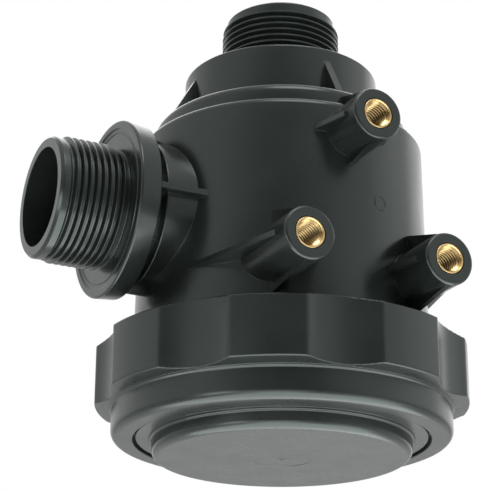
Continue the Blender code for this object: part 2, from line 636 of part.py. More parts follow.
def make_support():
    """The cartridge's ribbed tube, as a grid of cells round the axis: bars, hoops and open windows."""
    bay = 2 * math.pi / SUPPORT_BARS
    angles = []
    for bar in range(SUPPORT_BARS):
        angles.append(bar * bay)
        for step in range(SUPPORT_BAY_STEPS):
            share = step / SUPPORT_BAY_STEPS
            angles.append(bar * bay + SUPPORT_BAR_ANGLE + (bay - SUPPORT_BAR_ANGLE) * share)
    row = (SLEEVE_TOP - SLEEVE_BOTTOM - SUPPORT_HOOP_HEIGHT) / SUPPORT_ROWS
    heights = []
    for level in range(SUPPORT_ROWS + 1):
        heights += [SLEEVE_BOTTOM + level * row, SLEEVE_BOTTOM + level * row + SUPPORT_HOOP_HEIGHT]
    around, rows = len(angles), len(heights) - 1

    def solid(column, level):
        if not 0 <= level < rows:
            return False
        return level % 2 == 0 or column % (SUPPORT_BAY_STEPS + 1) == 0

    bm = bmesh.new()
    corners = {}

    def corner(column, level, outer):
        key = (column % around, level, outer)
        if key not in corners:
            radius = SUPPORT_RADIUS if outer else SUPPORT_RADIUS - SUPPORT_WALL
            angle = angles[key[0]]
            corners[key] = bm.verts.new((radius * math.cos(angle), radius * math.sin(angle), heights[level]))
        return corners[key]

    def add_face(*keys):
        bm.faces.new([corner(*key) for key in keys])

    for column in range(around):
        for level in range(rows):
            if not solid(column, level):
                continue
            right, up = column + 1, level + 1
            for outer in (False, True):
                add_face((column, level, outer), (right, level, outer), (right, up, outer), (column, up, outer))
            for beside, edge in ((column - 1, column), (right, right)):
                if not solid(beside % around, level):
                    add_face((edge, level, False), (edge, level, True), (edge, up, True), (edge, up, False))
            for beside, edge in ((level - 1, level), (up, up)):
                if not solid(column, beside):
                    add_face((column, edge, False), (column, edge, True), (right, edge, True), (right, edge, False))
    return object_from("cartridge_support", bm, "blue_plastic")


def make_cartridge():
    """The strainer cartridge: a ribbed tube and a mesh sleeve held between two end rings, with seals."""
    lip_inside = RING_RADIUS - RING_LIP_WALL
    gasket = turned(
        "cartridge_gasket",
        [
            (RING_RADIUS - GASKET_WIDTH - SEAT_GAP, GASKET_BOTTOM),
            (RING_RADIUS - SEAT_GAP, GASKET_BOTTOM),
            (RING_RADIUS - SEAT_GAP, GASKET_BOTTOM + GASKET_THICKNESS),
            (RING_RADIUS - GASKET_WIDTH - SEAT_GAP, GASKET_BOTTOM + GASKET_THICKNESS),
        ],
        "rubber",
        PIPE_STEPS,
    )
    bottom_ring = turned(
        "cartridge_bottom_ring",
        [
            (RING_BORE_RADIUS, BOTTOM_RING_FOOT),
            (RING_RADIUS, BOTTOM_RING_FOOT),
            (RING_RADIUS, BOTTOM_RING_FOOT + RING_FLOOR + RING_LIP_HEIGHT),
            (lip_inside, BOTTOM_RING_FOOT + RING_FLOOR + RING_LIP_HEIGHT),
            (lip_inside, BOTTOM_RING_FOOT + RING_FLOOR),
            (RING_BORE_RADIUS, BOTTOM_RING_FOOT + RING_FLOOR),
        ],
        "blue_plastic",
        PIPE_STEPS,
    )
    spigot_bore = SPIGOT_RADIUS - SPIGOT_WALL
    top_ring = turned(
        "cartridge_top_ring",
        [
            (spigot_bore, TOP_RING_TOP - RING_FLOOR),
            (lip_inside, TOP_RING_TOP - RING_FLOOR),
            (lip_inside, TOP_RING_TOP - RING_FLOOR - RING_LIP_HEIGHT),
            (RING_RADIUS, TOP_RING_TOP - RING_FLOOR - RING_LIP_HEIGHT),
            (RING_RADIUS, TOP_RING_TOP),
            (SPIGOT_RADIUS, TOP_RING_TOP),
            *groove_in(SPIGOT_RADIUS, NECK_BORE_RADIUS, NECK_RING_SECTION, TOP_RING_TOP + NECK_RING_RISE),
            (SPIGOT_RADIUS, SPIGOT_TOP - SPIGOT_CHAMFER),
            (SPIGOT_RADIUS - SPIGOT_CHAMFER, SPIGOT_TOP),
            (spigot_bore, SPIGOT_TOP),
        ],
        "blue_plastic",
        PIPE_STEPS,
    )
    sleeve = turned(
        "mesh_sleeve",
        [
            (SLEEVE_RADIUS - SLEEVE_WALL, SLEEVE_BOTTOM),
            (SLEEVE_RADIUS, SLEEVE_BOTTOM),
            (SLEEVE_RADIUS, SLEEVE_TOP),
            (SLEEVE_RADIUS - SLEEVE_WALL, SLEEVE_TOP),
        ],
        "steel_mesh",
        PIPE_STEPS,
    )
    neck_ring = rubber_ring(
        "cartridge_neck_ring", NECK_BORE_RADIUS, NECK_RING_SECTION, TOP_RING_TOP + NECK_RING_RISE
    )
    return [gasket, bottom_ring, top_ring, sleeve, neck_ring, make_support()]


def motion_axis(name, parent, children):
    """An empty on the filter's axis that carries the pieces which move together."""
    empty = bpy.data.objects.new(name, None)
    bpy.context.scene.collection.objects.link(empty)
    empty.parent = parent
    for child in children:
        child.parent = empty
    return empty


def main():
    clear_scene()
    bpy.context.scene.unit_settings.system = "METRIC"
    bpy.context.scene.unit_settings.scale_length = 1.0
    housing = make_housing()
    for insert in make_inserts():
        insert.parent = housing
    cartridge_axis = motion_axis("cartridge_axis", housing, make_cartridge())
    cover_ring = rubber_ring("cover_ring", BORE_RADIUS, COVER_RING_SECTION, FLANGE_TOP + COVER_RING_RISE)
    cover_axis = motion_axis("cover_axis", cartridge_axis, [make_cover(), cover_ring])
    motion_axis("ring_nut_axis", cover_axis, [make_ring_nut()])


main()
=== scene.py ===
"""Looks of the suction filter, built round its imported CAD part.

Metres, +Z up. The cover's flat underside lies on z = 0 and the filter's axis is the Z axis.
The inlet points along -X and the three mounting bosses face -Y. Every piece is modelled in place,
with its object at the origin.
"""

import logging
import math
from dataclasses import dataclass
from enum import Enum
from functools import cache
from typing import Sequence

import bmesh
import bpy
from bpy.types import ID, Material, Node, NodeSocket, NodeTree, Object
from mathutils import Matrix, Vector

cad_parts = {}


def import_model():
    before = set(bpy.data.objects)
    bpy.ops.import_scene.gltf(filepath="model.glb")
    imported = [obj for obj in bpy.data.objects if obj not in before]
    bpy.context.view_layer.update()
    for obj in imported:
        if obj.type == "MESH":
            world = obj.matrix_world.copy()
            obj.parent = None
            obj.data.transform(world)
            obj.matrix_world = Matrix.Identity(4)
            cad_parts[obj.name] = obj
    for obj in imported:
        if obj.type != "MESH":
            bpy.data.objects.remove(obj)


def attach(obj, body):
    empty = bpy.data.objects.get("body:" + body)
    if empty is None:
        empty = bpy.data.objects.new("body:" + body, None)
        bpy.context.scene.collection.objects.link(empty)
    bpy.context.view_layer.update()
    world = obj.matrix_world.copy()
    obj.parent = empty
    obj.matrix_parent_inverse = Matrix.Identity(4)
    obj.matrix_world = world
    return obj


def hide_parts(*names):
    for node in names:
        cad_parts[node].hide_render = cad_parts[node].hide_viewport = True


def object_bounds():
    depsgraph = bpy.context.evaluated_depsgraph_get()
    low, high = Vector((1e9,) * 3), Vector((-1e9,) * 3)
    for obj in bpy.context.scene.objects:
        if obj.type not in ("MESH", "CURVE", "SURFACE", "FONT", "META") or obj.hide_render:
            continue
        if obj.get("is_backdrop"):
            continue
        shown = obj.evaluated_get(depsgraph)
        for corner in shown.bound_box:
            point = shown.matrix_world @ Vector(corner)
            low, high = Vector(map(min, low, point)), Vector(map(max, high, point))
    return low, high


LOG = logging.getLogger("suction_filter")
Point = tuple[float, ...]
MM = 0.001
QUARTER = math.pi / 2
WHITE = (1.0, 1.0, 1.0, 1.0)
# Points nearer than this to each other are one, and points nearer to the axis are on it.
WELD = 1e-6
# How far a cut runs past what it cuts.
BEYOND = 5 * MM
# Corner radii of the mouldings, from a crisp edge to a soft one.
CRISP, FINE, EASED, SOFT, FULL, BOLD = (tenths * MM for tenths in (0.1, 0.2, 0.3, 0.4, 0.5, 0.8))
# A rounding turns this far at most in a step, in degrees, and takes this share of a side.
ROUNDING_STEP = 15.0
SIDE_SHARE = 0.48
# An edge stays sharp in the shading from this angle on, in degrees.
SHARP_ANGLE = 32.0


class Body(Enum):
    """The moving bodies of the CAD part."""

    HOUSING = "housing"
    CARTRIDGE = "cartridge"
    COVER = "cover"
    RING_NUT = "ring_nut"


class Slot(Enum):
    """The record's material slots."""

    HOUSING = "housing_plastic"
    NUT = "nut_plastic"
    COVER = "cover_plastic"
    BRASS = "insert_brass"
    CARTRIDGE = "cartridge_plastic"
    MESH = "steel_mesh"
    RUBBER = "rubber"


@dataclass(frozen=True)
class Finish:
    """How a material looks: its colour, its gloss and the fine relief of its surface.

    Args:
        colour: base colour, linear.
        metallic: 1 for metals.
        roughness: middle of the roughness.
        uneven: how far the roughness wanders either way.
        grain: depth of the fine relief, in metres.
        grain_scale: noise cells in a metre for the fine relief.
        edge: radius with which edges are rounded in the shading, in metres.
        tint: colour of the gloss.
        mottle: how far the colour wanders either way, as a share of it.
        mottle_scale: noise cells in a metre for colour and roughness.
        mottle_span: the noise's heights between which the roughness wanders.
    """

    colour: tuple[float, float, float]
    metallic: float = 0.0
    roughness: float = 0.4
    uneven: float = 0.05
    grain: float = 0.004 * MM
    grain_scale: float = 2500.0
    edge: float = 0.3 * MM
    tint: tuple[float, float, float] = (1.0, 1.0, 1.0)
    mottle: float = 0.1
    mottle_scale: float = 70.0
    mottle_span: tuple[float, float] = (0.3, 0.7)


BLACK_PLASTIC = {"uneven": 0.04, "tint": (0.87, 1.0, 0.975)}
FINISHES = {
    Slot.HOUSING: Finish((0.0078, 0.0098, 0.0090), roughness=0.25, edge=0.25 * MM, **BLACK_PLASTIC),
    Slot.NUT: Finish((0.0073, 0.0092, 0.0085), roughness=0.29, edge=0.4 * MM, **BLACK_PLASTIC),
    Slot.COVER: Finish((0.0122, 0.0146, 0.0136), roughness=0.29, edge=0.3 * MM, **BLACK_PLASTIC),
    Slot.BRASS: Finish(
        (0.55, 0.40, 0.185), 1.0, 0.22, grain=0.003 * MM, grain_scale=6000.0, edge=0.1 * MM
    ),
    Slot.CARTRIDGE: Finish((0.012, 0.06, 0.28), roughness=0.36),
    Slot.MESH: Finish((0.60, 0.60, 0.58), 1.0, 0.3, grain=0.0, edge=0.0),
    Slot.RUBBER: Finish((0.010, 0.010, 0.010), roughness=0.6, uneven=0.06, grain=0.012 * MM),
}


class Nodes:
    """Adds nodes to a tree and feeds their inputs."""

    def __init__(self, tree: NodeTree) -> None:
        """Takes the tree that the nodes go into."""
        self.tree = tree

    def put(self, socket: NodeSocket, value: object) -> None:
        """Feeds an input.

        Args:
            socket: the input.
            value: a socket to link to it, or its constant.
        """
        if isinstance(value, NodeSocket):
            self.tree.links.new(value, socket)
        else:
            socket.default_value = value

    def node(
        self, kind: str, inputs: dict[str | int, object] | None = None, **settings: object
    ) -> Node:
        """Adds a node.

        Args:
            kind: the node's type.
            inputs: sockets or constants by the input's name or number.
            settings: the node's properties.

        Returns:
            The node.
        """
        made = self.tree.nodes.new(kind)
        for name, value in settings.items():
            setattr(made, name, value)
        for key, value in (inputs or {}).items():
            self.put(made.inputs[key], value)
        return made

    def math(self, operation: str, *values: object) -> NodeSocket:
        """Works out numbers, which are sockets or constants."""
        return self.node("ShaderNodeMath", dict(enumerate(values)), operation=operation).outputs[0]

    def noise(self, place: NodeSocket, scale: float, detail: float) -> NodeSocket:
        """Gives the height of a noise pattern."""
        inputs = {"Vector": place, "Scale": scale, "Detail": detail}
        return self.node("ShaderNodeTexNoise", inputs).outputs["Fac"]

    def ranged(
        self, value: NodeSocket, span: Point, ends: Point, blend: str = "LINEAR"
    ) -> NodeSocket:
        """Maps a span of numbers to another.

        Args:
            value: the number.
            span: the numbers between which the result moves.
            ends: what the result is at either end.
            blend: how it moves between them.

        Returns:
            The result's socket.
        """
        made = self.node("ShaderNodeMapRange", {"Value": value}, interpolation_type=blend)
        for name, end in zip(("From Min", "From Max", "To Min", "To Max"), (*span, *ends)):
            self.put(made.inputs[name], end)
        return made.outputs["Result"]

    def mixed(
        self, share: NodeSocket, ends: Sequence[object], data: str = "FLOAT", kind: str = "VALUE"
    ) -> NodeSocket:
        """Mixes two numbers, or two colours.

        Args:
            share: how much of the second there is.
            ends: the two, as sockets or constants.
            data: what the node mixes.
            kind: the type of its sockets for that.

        Returns:
            The mixture's socket.
        """
        made = self.node("ShaderNodeMix", {"Factor": share}, data_type=data)
        # The two ends are the last inputs of their type.
        fitting = [socket for socket in made.inputs if socket.type == kind]
        for socket, end in zip(fitting[-2:], ends):
            self.put(socket, end)
        return next(socket for socket in made.outputs if socket.type == kind)


@cache
def material(slot: Slot) -> Material:
    """Makes a slot's procedural material on Object coordinates, at the first call.

    Args:
        slot: the record's slot.

    Returns:
        The Blender material.
    """
    finish = FINISHES[slot]
    made = bpy.data.materials.new(slot.value)
    made.use_nodes = True
    nodes = Nodes(made.node_tree)
    place = nodes.node("ShaderNodeTexCoord").outputs["Object"]
    broad = nodes.noise(place, finish.mottle_scale, detail=3.0)
    rough = (finish.roughness - finish.uneven, finish.roughness + finish.uneven)
    colours = [
        (*(share * part for part in finish.colour), 1.0)
        for share in (1.0 - finish.mottle, 1.0 + finish.mottle)
    ]
    looks = {
        "Metallic": finish.metallic,
        "Specular Tint": (*finish.tint, 1.0),
        "Roughness": nodes.ranged(broad, finish.mottle_span, rough),
        "Base Color": nodes.mixed(broad, colours, "RGBA", "RGBA"),
    }
    normal = {}
    if finish.edge:
        bevel = nodes.node("ShaderNodeBevel", {"Radius": finish.edge}, samples=6)
        normal = {"Normal": bevel.outputs["Normal"]}
    if finish.grain:
        fine = nodes.noise(place, finish.grain_scale, detail=2.0)
        relief = {"Strength": 1.0, "Distance": finish.grain, "Height": fine, **normal}
        normal = {"Normal": nodes.node("ShaderNodeBump", relief).outputs["Normal"]}
    shader = made.node_tree.nodes["Principled BSDF"]
    for name, value in (looks | normal).items():
        nodes.put(shader.inputs[name], value)
    return made


def block(inside: float, outside: float, low: float, high: float) -> list[Point]:
    """Gives the corners of a straight-sided section, as radius and height."""
    return [(inside, low), (outside, low), (outside, high), (inside, high)]


def disc(radius: float, height: float, section: float, steps: int = 20) -> list[Point]:
    """Gives the round section of a rubber ring.

    Args:
        radius: from the ring's axis to the section's middle.
        height: of the section's middle.
        section: its radius.
        steps: facets round it.

    Returns:
        The section's points.
    """
    angles = [2 * math.pi * step / steps for step in range(steps)]
    return [
        (radius + section * math.cos(angle), height + section * math.sin(angle))
        for angle in angles
    ]


def rounded(corners: Sequence[Point]) -> list[Point]:
    """Rounds the corners of a closed outline.

    Args:
        corners: (x, y) or (x, y, radius) of each corner.

    Returns:
        The outline's points.
    """
    points: list[Point] = []
    for number, corner in enumerate(corners):
        here = Vector(corner[:2])
        if len(corner) == 2:
            points.append((here.x, here.y))
            continue
        back = Vector(corners[number - 1][:2]) - here
        ahead = Vector(corners[(number + 1) % len(corners)][:2]) - here
        half = back.angle(ahead) / 2
        reach = min(corner[2] / math.tan(half), SIDE_SHARE * back.length, SIDE_SHARE * ahead.length)
        radius = reach * math.tan(half)
        back.normalize()
        ahead.normalize()
        centre = here + (back + ahead).normalized() * radius / math.sin(half)
        start, end = here + back * reach - centre, here + ahead * reach - centre
        first = math.atan2(start.y, start.x)
        sweep = (math.atan2(end.y, end.x) - first + math.pi) % (2 * math.pi) - math.pi
        steps = max(2, math.ceil(abs(math.degrees(sweep)) / ROUNDING_STEP))
        for step in range(steps + 1):
            angle = first + sweep * step / steps
            points.append(
                (centre.x + radius * math.cos(angle), centre.y + radius * math.sin(angle))
            )
    return points


def finer(points: Sequence[Point], longest: float) -> list[Point]:
    """Splits the long sides of a closed outline, off the axis, into shorter ones.

    Args:
        points: the outline's points.
        longest: most length that a side keeps.

    Returns:
        The outline with the points that were added.
    """
    made: list[Point] = []
    for start, end in zip(points, [*points[1:], points[0]]):
        made.append(start)
        length = math.dist(start, end)
        if length <= longest or min(start[0], end[0]) < WELD:
            continue
        parts = math.ceil(length / longest)
        for part in range(1, parts):
            share = part / parts
            made.append(tuple(low + (high - low) * share for low, high in zip(start, end)))
    return made


def linked(name: str, data: ID) -> Object:
    """Makes an object and links it to the scene.

    Args:
        name: the object's name.
        data: its mesh, light or camera.

    Returns:
        The object, at the origin.
    """
    made = bpy.data.objects.new(name, data)
    bpy.context.scene.collection.objects.link(made)
    return made


def object_from(name: str, bm: bmesh.types.BMesh) -> Object:
    """Makes an object from a bmesh with its faces turned outwards.

    Args:
        name: the object's name.
        bm: the bmesh, freed here.

    Returns:
        The object, linked to the scene.
    """
    bmesh.ops.recalc_face_normals(bm, faces=bm.faces)
    if bm.calc_volume(signed=True) < 0:
        bmesh.ops.reverse_faces(bm, faces=bm.faces)
    mesh = bpy.data.meshes.new(name)
    bm.to_mesh(mesh)
    bm.free()
    return linked(name, mesh)


def turned(name: str, profile: Sequence[Point], steps: int, frame: Matrix | None = None) -> Object:
    """Turns a closed (radius, height) profile round Z.

    Args:
        name: the object's name.
        profile: the profile's points.
        steps: facets round the axis.
        frame: where the turned shape is placed.

    Returns:
        The turned object.
    """
    bm = bmesh.new()
    points = [bm.verts.new((radius, 0.0, height)) for radius, height in profile]
    edges = [bm.edges.new(pair) for pair in zip(points, points[1:] + points[:1])]
    bmesh.ops.spin(
        bm, geom=points + edges, axis=(0, 0, 1), cent=(0, 0, 0), steps=steps, angle=2 * math.pi
    )
    bmesh.ops.remove_doubles(bm, verts=bm.verts, dist=WELD)
    poles = [vert for vert in bm.verts if math.hypot(vert.co.x, vert.co.y) < WELD]
    bmesh.ops.dissolve_verts(bm, verts=poles)
    if frame:
        bm.transform(frame)
    return object_from(name, bm)


def plate(name: str, outline: Sequence[Point], thickness: float, frame: Matrix) -> Object:
    """Makes a flat plate that is as thick on one side of its outline's plane as on the other.

    Args:
        name: the object's name.
        outline: its points in the frame's XY plane.
        thickness: the whole thickness.
        frame: where the plate is placed.

    Returns:
        The plate.
    """
    bm = bmesh.new()
    face = bm.faces.new([bm.verts.new((x, y, -thickness / 2)) for x, y in outline])
    grown = bmesh.ops.extrude_face_region(bm, geom=[face])
    moved = [item for item in grown["geom"] if isinstance(item, bmesh.types.BMVert)]
    bmesh.ops.translate(bm, verts=moved, vec=(0, 0, thickness))
    bm.transform(frame)
    return object_from(name, bm)


def settled(obj: Object) -> Object:
    """Runs an object's modifiers once and keeps the result as its own plain mesh.

    Args:
        obj: the object with its modifiers.

    Returns:
        The same object, without modifiers.
    """
    depsgraph = bpy.context.evaluated_depsgraph_get()
    mesh = bpy.data.meshes.new_from_object(
        obj.evaluated_get(depsgraph), preserve_all_data_layers=True, depsgraph=depsgraph
    )
    obj.modifiers.clear()
    obj.data = mesh
    return obj


def combine(target: Object, unions: Sequence[Object], cuts: Sequence[Object]) -> None:
    """Joins pieces to a target, then cuts others out of it, and removes them.

    Args:
        target: the object that grows.
        unions: what is joined to it, in turn.
        cuts: what is cut out of it, in turn.
    """
    for operation, pieces in (("UNION", unions), ("DIFFERENCE", cuts)):
        for piece in pieces:
            modifier = target.modifiers.new(piece.name, "BOOLEAN")
            modifier.operation = operation
            modifier.solver = "EXACT"
            modifier.object = piece
    settled(target)
    for piece in (*unions, *cuts):
        bpy.data.objects.remove(piece, do_unlink=True)


def dress(obj: Object, body: Body, slot: Slot, node: str = "", sharp: bool = True) -> None:
    """Shades a piece smooth, dresses it and puts it on its body.

    Args:
        obj: the piece.
        body: the body that it rides on.
        slot: the record's slot that its finish is from.
        node: the CAD node that it stands for, if it does.
        sharp: whether it has edges that stay sharp, which fine wires haven't.
    """
    obj.data.shade_smooth()
    if sharp:
        obj.data.set_sharp_from_angle(angle=math.radians(SHARP_ANGLE))
        obj.modifiers.new("weighted", "WEIGHTED_NORMAL").keep_sharp = True
        settled(obj)
    obj.data.materials.clear()
    obj.data.materials.append(material(slot))
    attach(obj, body.value)
    if node:
        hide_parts(node)
    LOG.info("%s: %d faces", obj.name, len(obj.data.polygons))


class GeometryTree(Nodes):
    """Builds a Geometry Nodes tree with named inputs and bakes it into a plain mesh."""

    def __init__(self, name: str) -> None:
        """Starts a tree with one geometry input and one geometry output.

        Args:
            name: the tree's name.
        """
        super().__init__(bpy.data.node_groups.new(name, "GeometryNodeTree"))
        for way in ("INPUT", "OUTPUT"):
            self.tree.interface.new_socket(
                "Geometry", in_out=way, socket_type="NodeSocketGeometry"
            )
        self.inputs = self.node("NodeGroupInput")
        self.result = self.node("NodeGroupOutput")
        self._values: dict[str, float | int] = {}

    def numbers(self, **values: float | int) -> list[NodeSocket]:
        """Adds named inputs, such as "Root radius" for root_radius.

        Args:
            values: what the modifier sets the inputs to.

        Returns:
            The sockets that give the values inside the tree, in order.
        """
        made = []
        for key, value in values.items():
            name = key.replace("_", " ").capitalize()
            kind = "NodeSocketInt" if isinstance(value, int) else "NodeSocketFloat"
            item = self.tree.interface.new_socket(name, in_out="INPUT", socket_type=kind)
            self._values[item.identifier] = value
            made.append(self.inputs.outputs[name])
        return made

    def vector(self, x: object = 0.0, y: object = 0.0, z: object = 0.0) -> NodeSocket:
        """Joins three numbers, which are sockets or constants, to a vector."""
        return self.node("ShaderNodeCombineXYZ", {"X": x, "Y": y, "Z": z}).outputs[0]

    def circle(self, points: object, radius: object) -> NodeSocket:
        """Draws a circle with so many points."""
        inputs = {"Resolution": points, "Radius": radius}
        return self.node("GeometryNodeCurvePrimitiveCircle", inputs).outputs[0]

    def swept(self, path: NodeSocket, section: NodeSocket) -> NodeSocket:
        """Sweeps a section along a path."""
        inputs = {"Curve": path, "Profile Curve": section}
        return self.node("GeometryNodeCurveToMesh", inputs).outputs[0]

    def stack(self, count: NodeSocket, first: NodeSocket, room: NodeSocket) -> NodeSocket:
        """Sets points one above the other, evenly from a first height to the end of the room."""
        gap = self.math("DIVIDE", room, self.math("SUBTRACT", count, 1.0))
        line = {"Start Location": self.vector(z=first), "Offset": self.vector(z=gap)}
        return self.node("GeometryNodeMeshLine", {"Count": count, **line}).outputs[0]

    def copies(self, points: NodeSocket, piece: NodeSocket, turn: object = 0.0) -> NodeSocket:
        """Repeats a piece on points, each copy turned round Z."""
        inputs = {"Points": points, "Instance": piece, "Rotation": self.vector(z=turn)}
        return self.node("GeometryNodeInstanceOnPoints", inputs).outputs[0]

    def bake(self, slot: Slot, *pieces: NodeSocket, obj: Object | None = None) -> Object:
        """Finishes the tree with Realize Instances and Set Material and runs it on an object.

        Args:
            slot: the material's slot.
            pieces: the sockets with the finished geometry.
            obj: the object that the tree runs on. Without one, a new one gets the tree's name.

        Returns:
            The object as a plain mesh.
        """
        joined = self.node("GeometryNodeJoinGeometry")
        for piece in pieces:
            self.put(joined.inputs[0], piece)
        real = self.node("GeometryNodeRealizeInstances", {"Geometry": joined.outputs[0]})
        dressed = {"Geometry": real.outputs[0], "Material": material(slot)}
        done = self.node("GeometryNodeSetMaterial", dressed).outputs[0]
        self.put(self.result.inputs[0], done)
        obj = obj or linked(self.tree.name, bpy.data.meshes.new(self.tree.name))
        modifier = obj.modifiers.new(self.tree.name, "NODES")
        modifier.node_group = self.tree
        for identifier, value in self._values.items():
            modifier[identifier] = value
        return settled(obj)


@dataclass(frozen=True)
class Helix:
    """Sizes of a thread's ridge, which winds round its core as it climbs.

    Args:
        pitch: height of one turn.
        root: radius of the core that the ridge stands on.
        crest: radius that the ridge reaches, less than `root` for a thread in a bore.
        foot: height of the ridge's start.
        turns: how many times it winds round.
        base_width: width of the ridge on its core.
        crest_width: width of the ridge at its crest.
        phase: angle in degrees at which the ridge starts.
        steps: facets in a turn.
        fade: turns over which the ridge grows at its start and shrinks at its end.
        thin: what is left of it at the very ends.
        sunk: how deep it reaches into its core, as a share of its height.
    """

    pitch: float
    root: float
    crest: float
    foot: float
    turns: float
    base_width: float
    crest_width: float
    phase: float = 0.0
    steps: int = 96
    fade: float = 0.35
    thin: float = 0.02
    sunk: float = 0.06

    def ridge(self, name: str, body: Body, slot: Slot, frame: Matrix | None = None) -> None:
        """Sweeps a profile along a spiral with Geometry Nodes and puts the ridge on its body.

        Args:
            name: the object's name.
            body: the body that it rides on.
            slot: the material's slot.
            frame: where the thread is placed.
        """
        tree = GeometryTree(name)
        turns, pitch, root, height, base, crest, fade, steps = tree.numbers(
            turns=self.turns,
            pitch=self.pitch,
            root_radius=self.root,
            ridge_height=self.crest - self.root,
            base_width=self.base_width,
            crest_width=self.crest_width,
            fade=self.fade,
            steps=self.steps,
        )
        climb = tree.math("MULTIPLY", turns, pitch)
        sizes = {"Rotations": turns, "Start Radius": root, "End Radius": root, "Height": climb}
        spiral = tree.node(
            "GeometryNodeCurveSpiral", {"Resolution": steps, "Reverse": False, **sizes}
        )
        path = tree.node("GeometryNodeSetCurveNormal", {"Curve": spiral.outputs[0]}, mode="Z_UP")
        # A spiral's normals point at its axis, so the section's way out is its -X.
        sunk, out = (tree.math("MULTIPLY", height, share) for share in (self.sunk, -1.0))
        half_base, half_crest, low_base, low_crest = (
            tree.math("MULTIPLY", width, share) for share in (0.5, -0.5) for width in (base, crest)
        )
        section = tree.node("GeometryNodeCurvePrimitiveQuadrilateral", mode="POINTS")
        for socket, (x, y) in zip(
            [socket for socket in section.inputs if socket.name.startswith("Point")],
            [(sunk, low_base), (out, low_crest), (out, half_crest), (sunk, half_base)],
        ):
            tree.put(socket, tree.vector(x, y))
        part = tree.node("GeometryNodeSplineParameter").outputs["Factor"]
        gone = tree.math("MULTIPLY", part, turns)
        left = tree.math("SUBTRACT", turns, gone)
        near = tree.math("DIVIDE", tree.math("MINIMUM", gone, left), fade)
        size = tree.math("MAXIMUM", tree.math("MINIMUM", near, 1.0), self.thin)
        curves = {"Curve": path.outputs[0], "Profile Curve": section.outputs[0]}
        swept = tree.node(
            "GeometryNodeCurveToMesh", {**curves, "Scale": size, "Fill Caps": True}
        )
        made = tree.bake(slot, swept.outputs[0])
        turn = Matrix.Rotation(math.radians(self.phase), 4, "Z")
        made.data.transform((frame or Matrix()) @ Matrix.Translation((0, 0, self.foot)) @ turn)
        dress(made, body, slot)


def along_inlet(height: float) -> Matrix:
    """Gives a frame on the filter's axis whose Z runs out along the inlet."""
    return Matrix.Translation((0, 0, height)) @ Matrix.Rotation(-QUARTER, 4, "Y")


def along_boss(x: float, z: float) -> Matrix:
    """Gives a frame at y = 0 whose Z runs out along a boss towards -Y."""
    return Matrix.Translation((x, 0, z)) @ Matrix.Rotation(QUARTER, 4, "X")


def standing(number: int) -> Matrix:
    """Gives a frame for a plate that stands along Z, turned so many quarters round it."""
    return Matrix.Rotation(number * QUARTER, 4, "Z") @ Matrix.Rotation(QUARTER, 4, "X")


@dataclass(frozen=True)
class PipeSize:
    """Sizes that the inlet and the outlet share: a G 1 1/4 pipe thread on a round spigot."""

    crest: float = 20.955 * MM
    root: float = 19.476 * MM
    core: float = 19.45 * MM
    lead: float = 20.25 * MM
    lead_edge: float = 19.4 * MM
    bore: float = 16.5 * MM
    pitch: float = 2.309 * MM
    end_share: float = 0.3
    base_share: float = 0.76
    crest_share: float = 0.18

    def helix(self, foot: float, top: float, phase: float) -> Helix:
        """Gives the thread between two heights.

        Args:
            foot: where it starts.
            top: where it ends.
            phase: angle in degrees at which it starts.

        Returns:
            The ridge's sizes.
        """
        edge = self.end_share * self.pitch
        return Helix(
            pitch=self.pitch,
            root=self.root,
            crest=self.crest,
            foot=foot + edge,
            turns=(top - foot - 2 * edge) / self.pitch,
            base_width=self.pitch * self.base_share,
            crest_width=self.pitch * self.crest_share,
            phase=phase,
        )


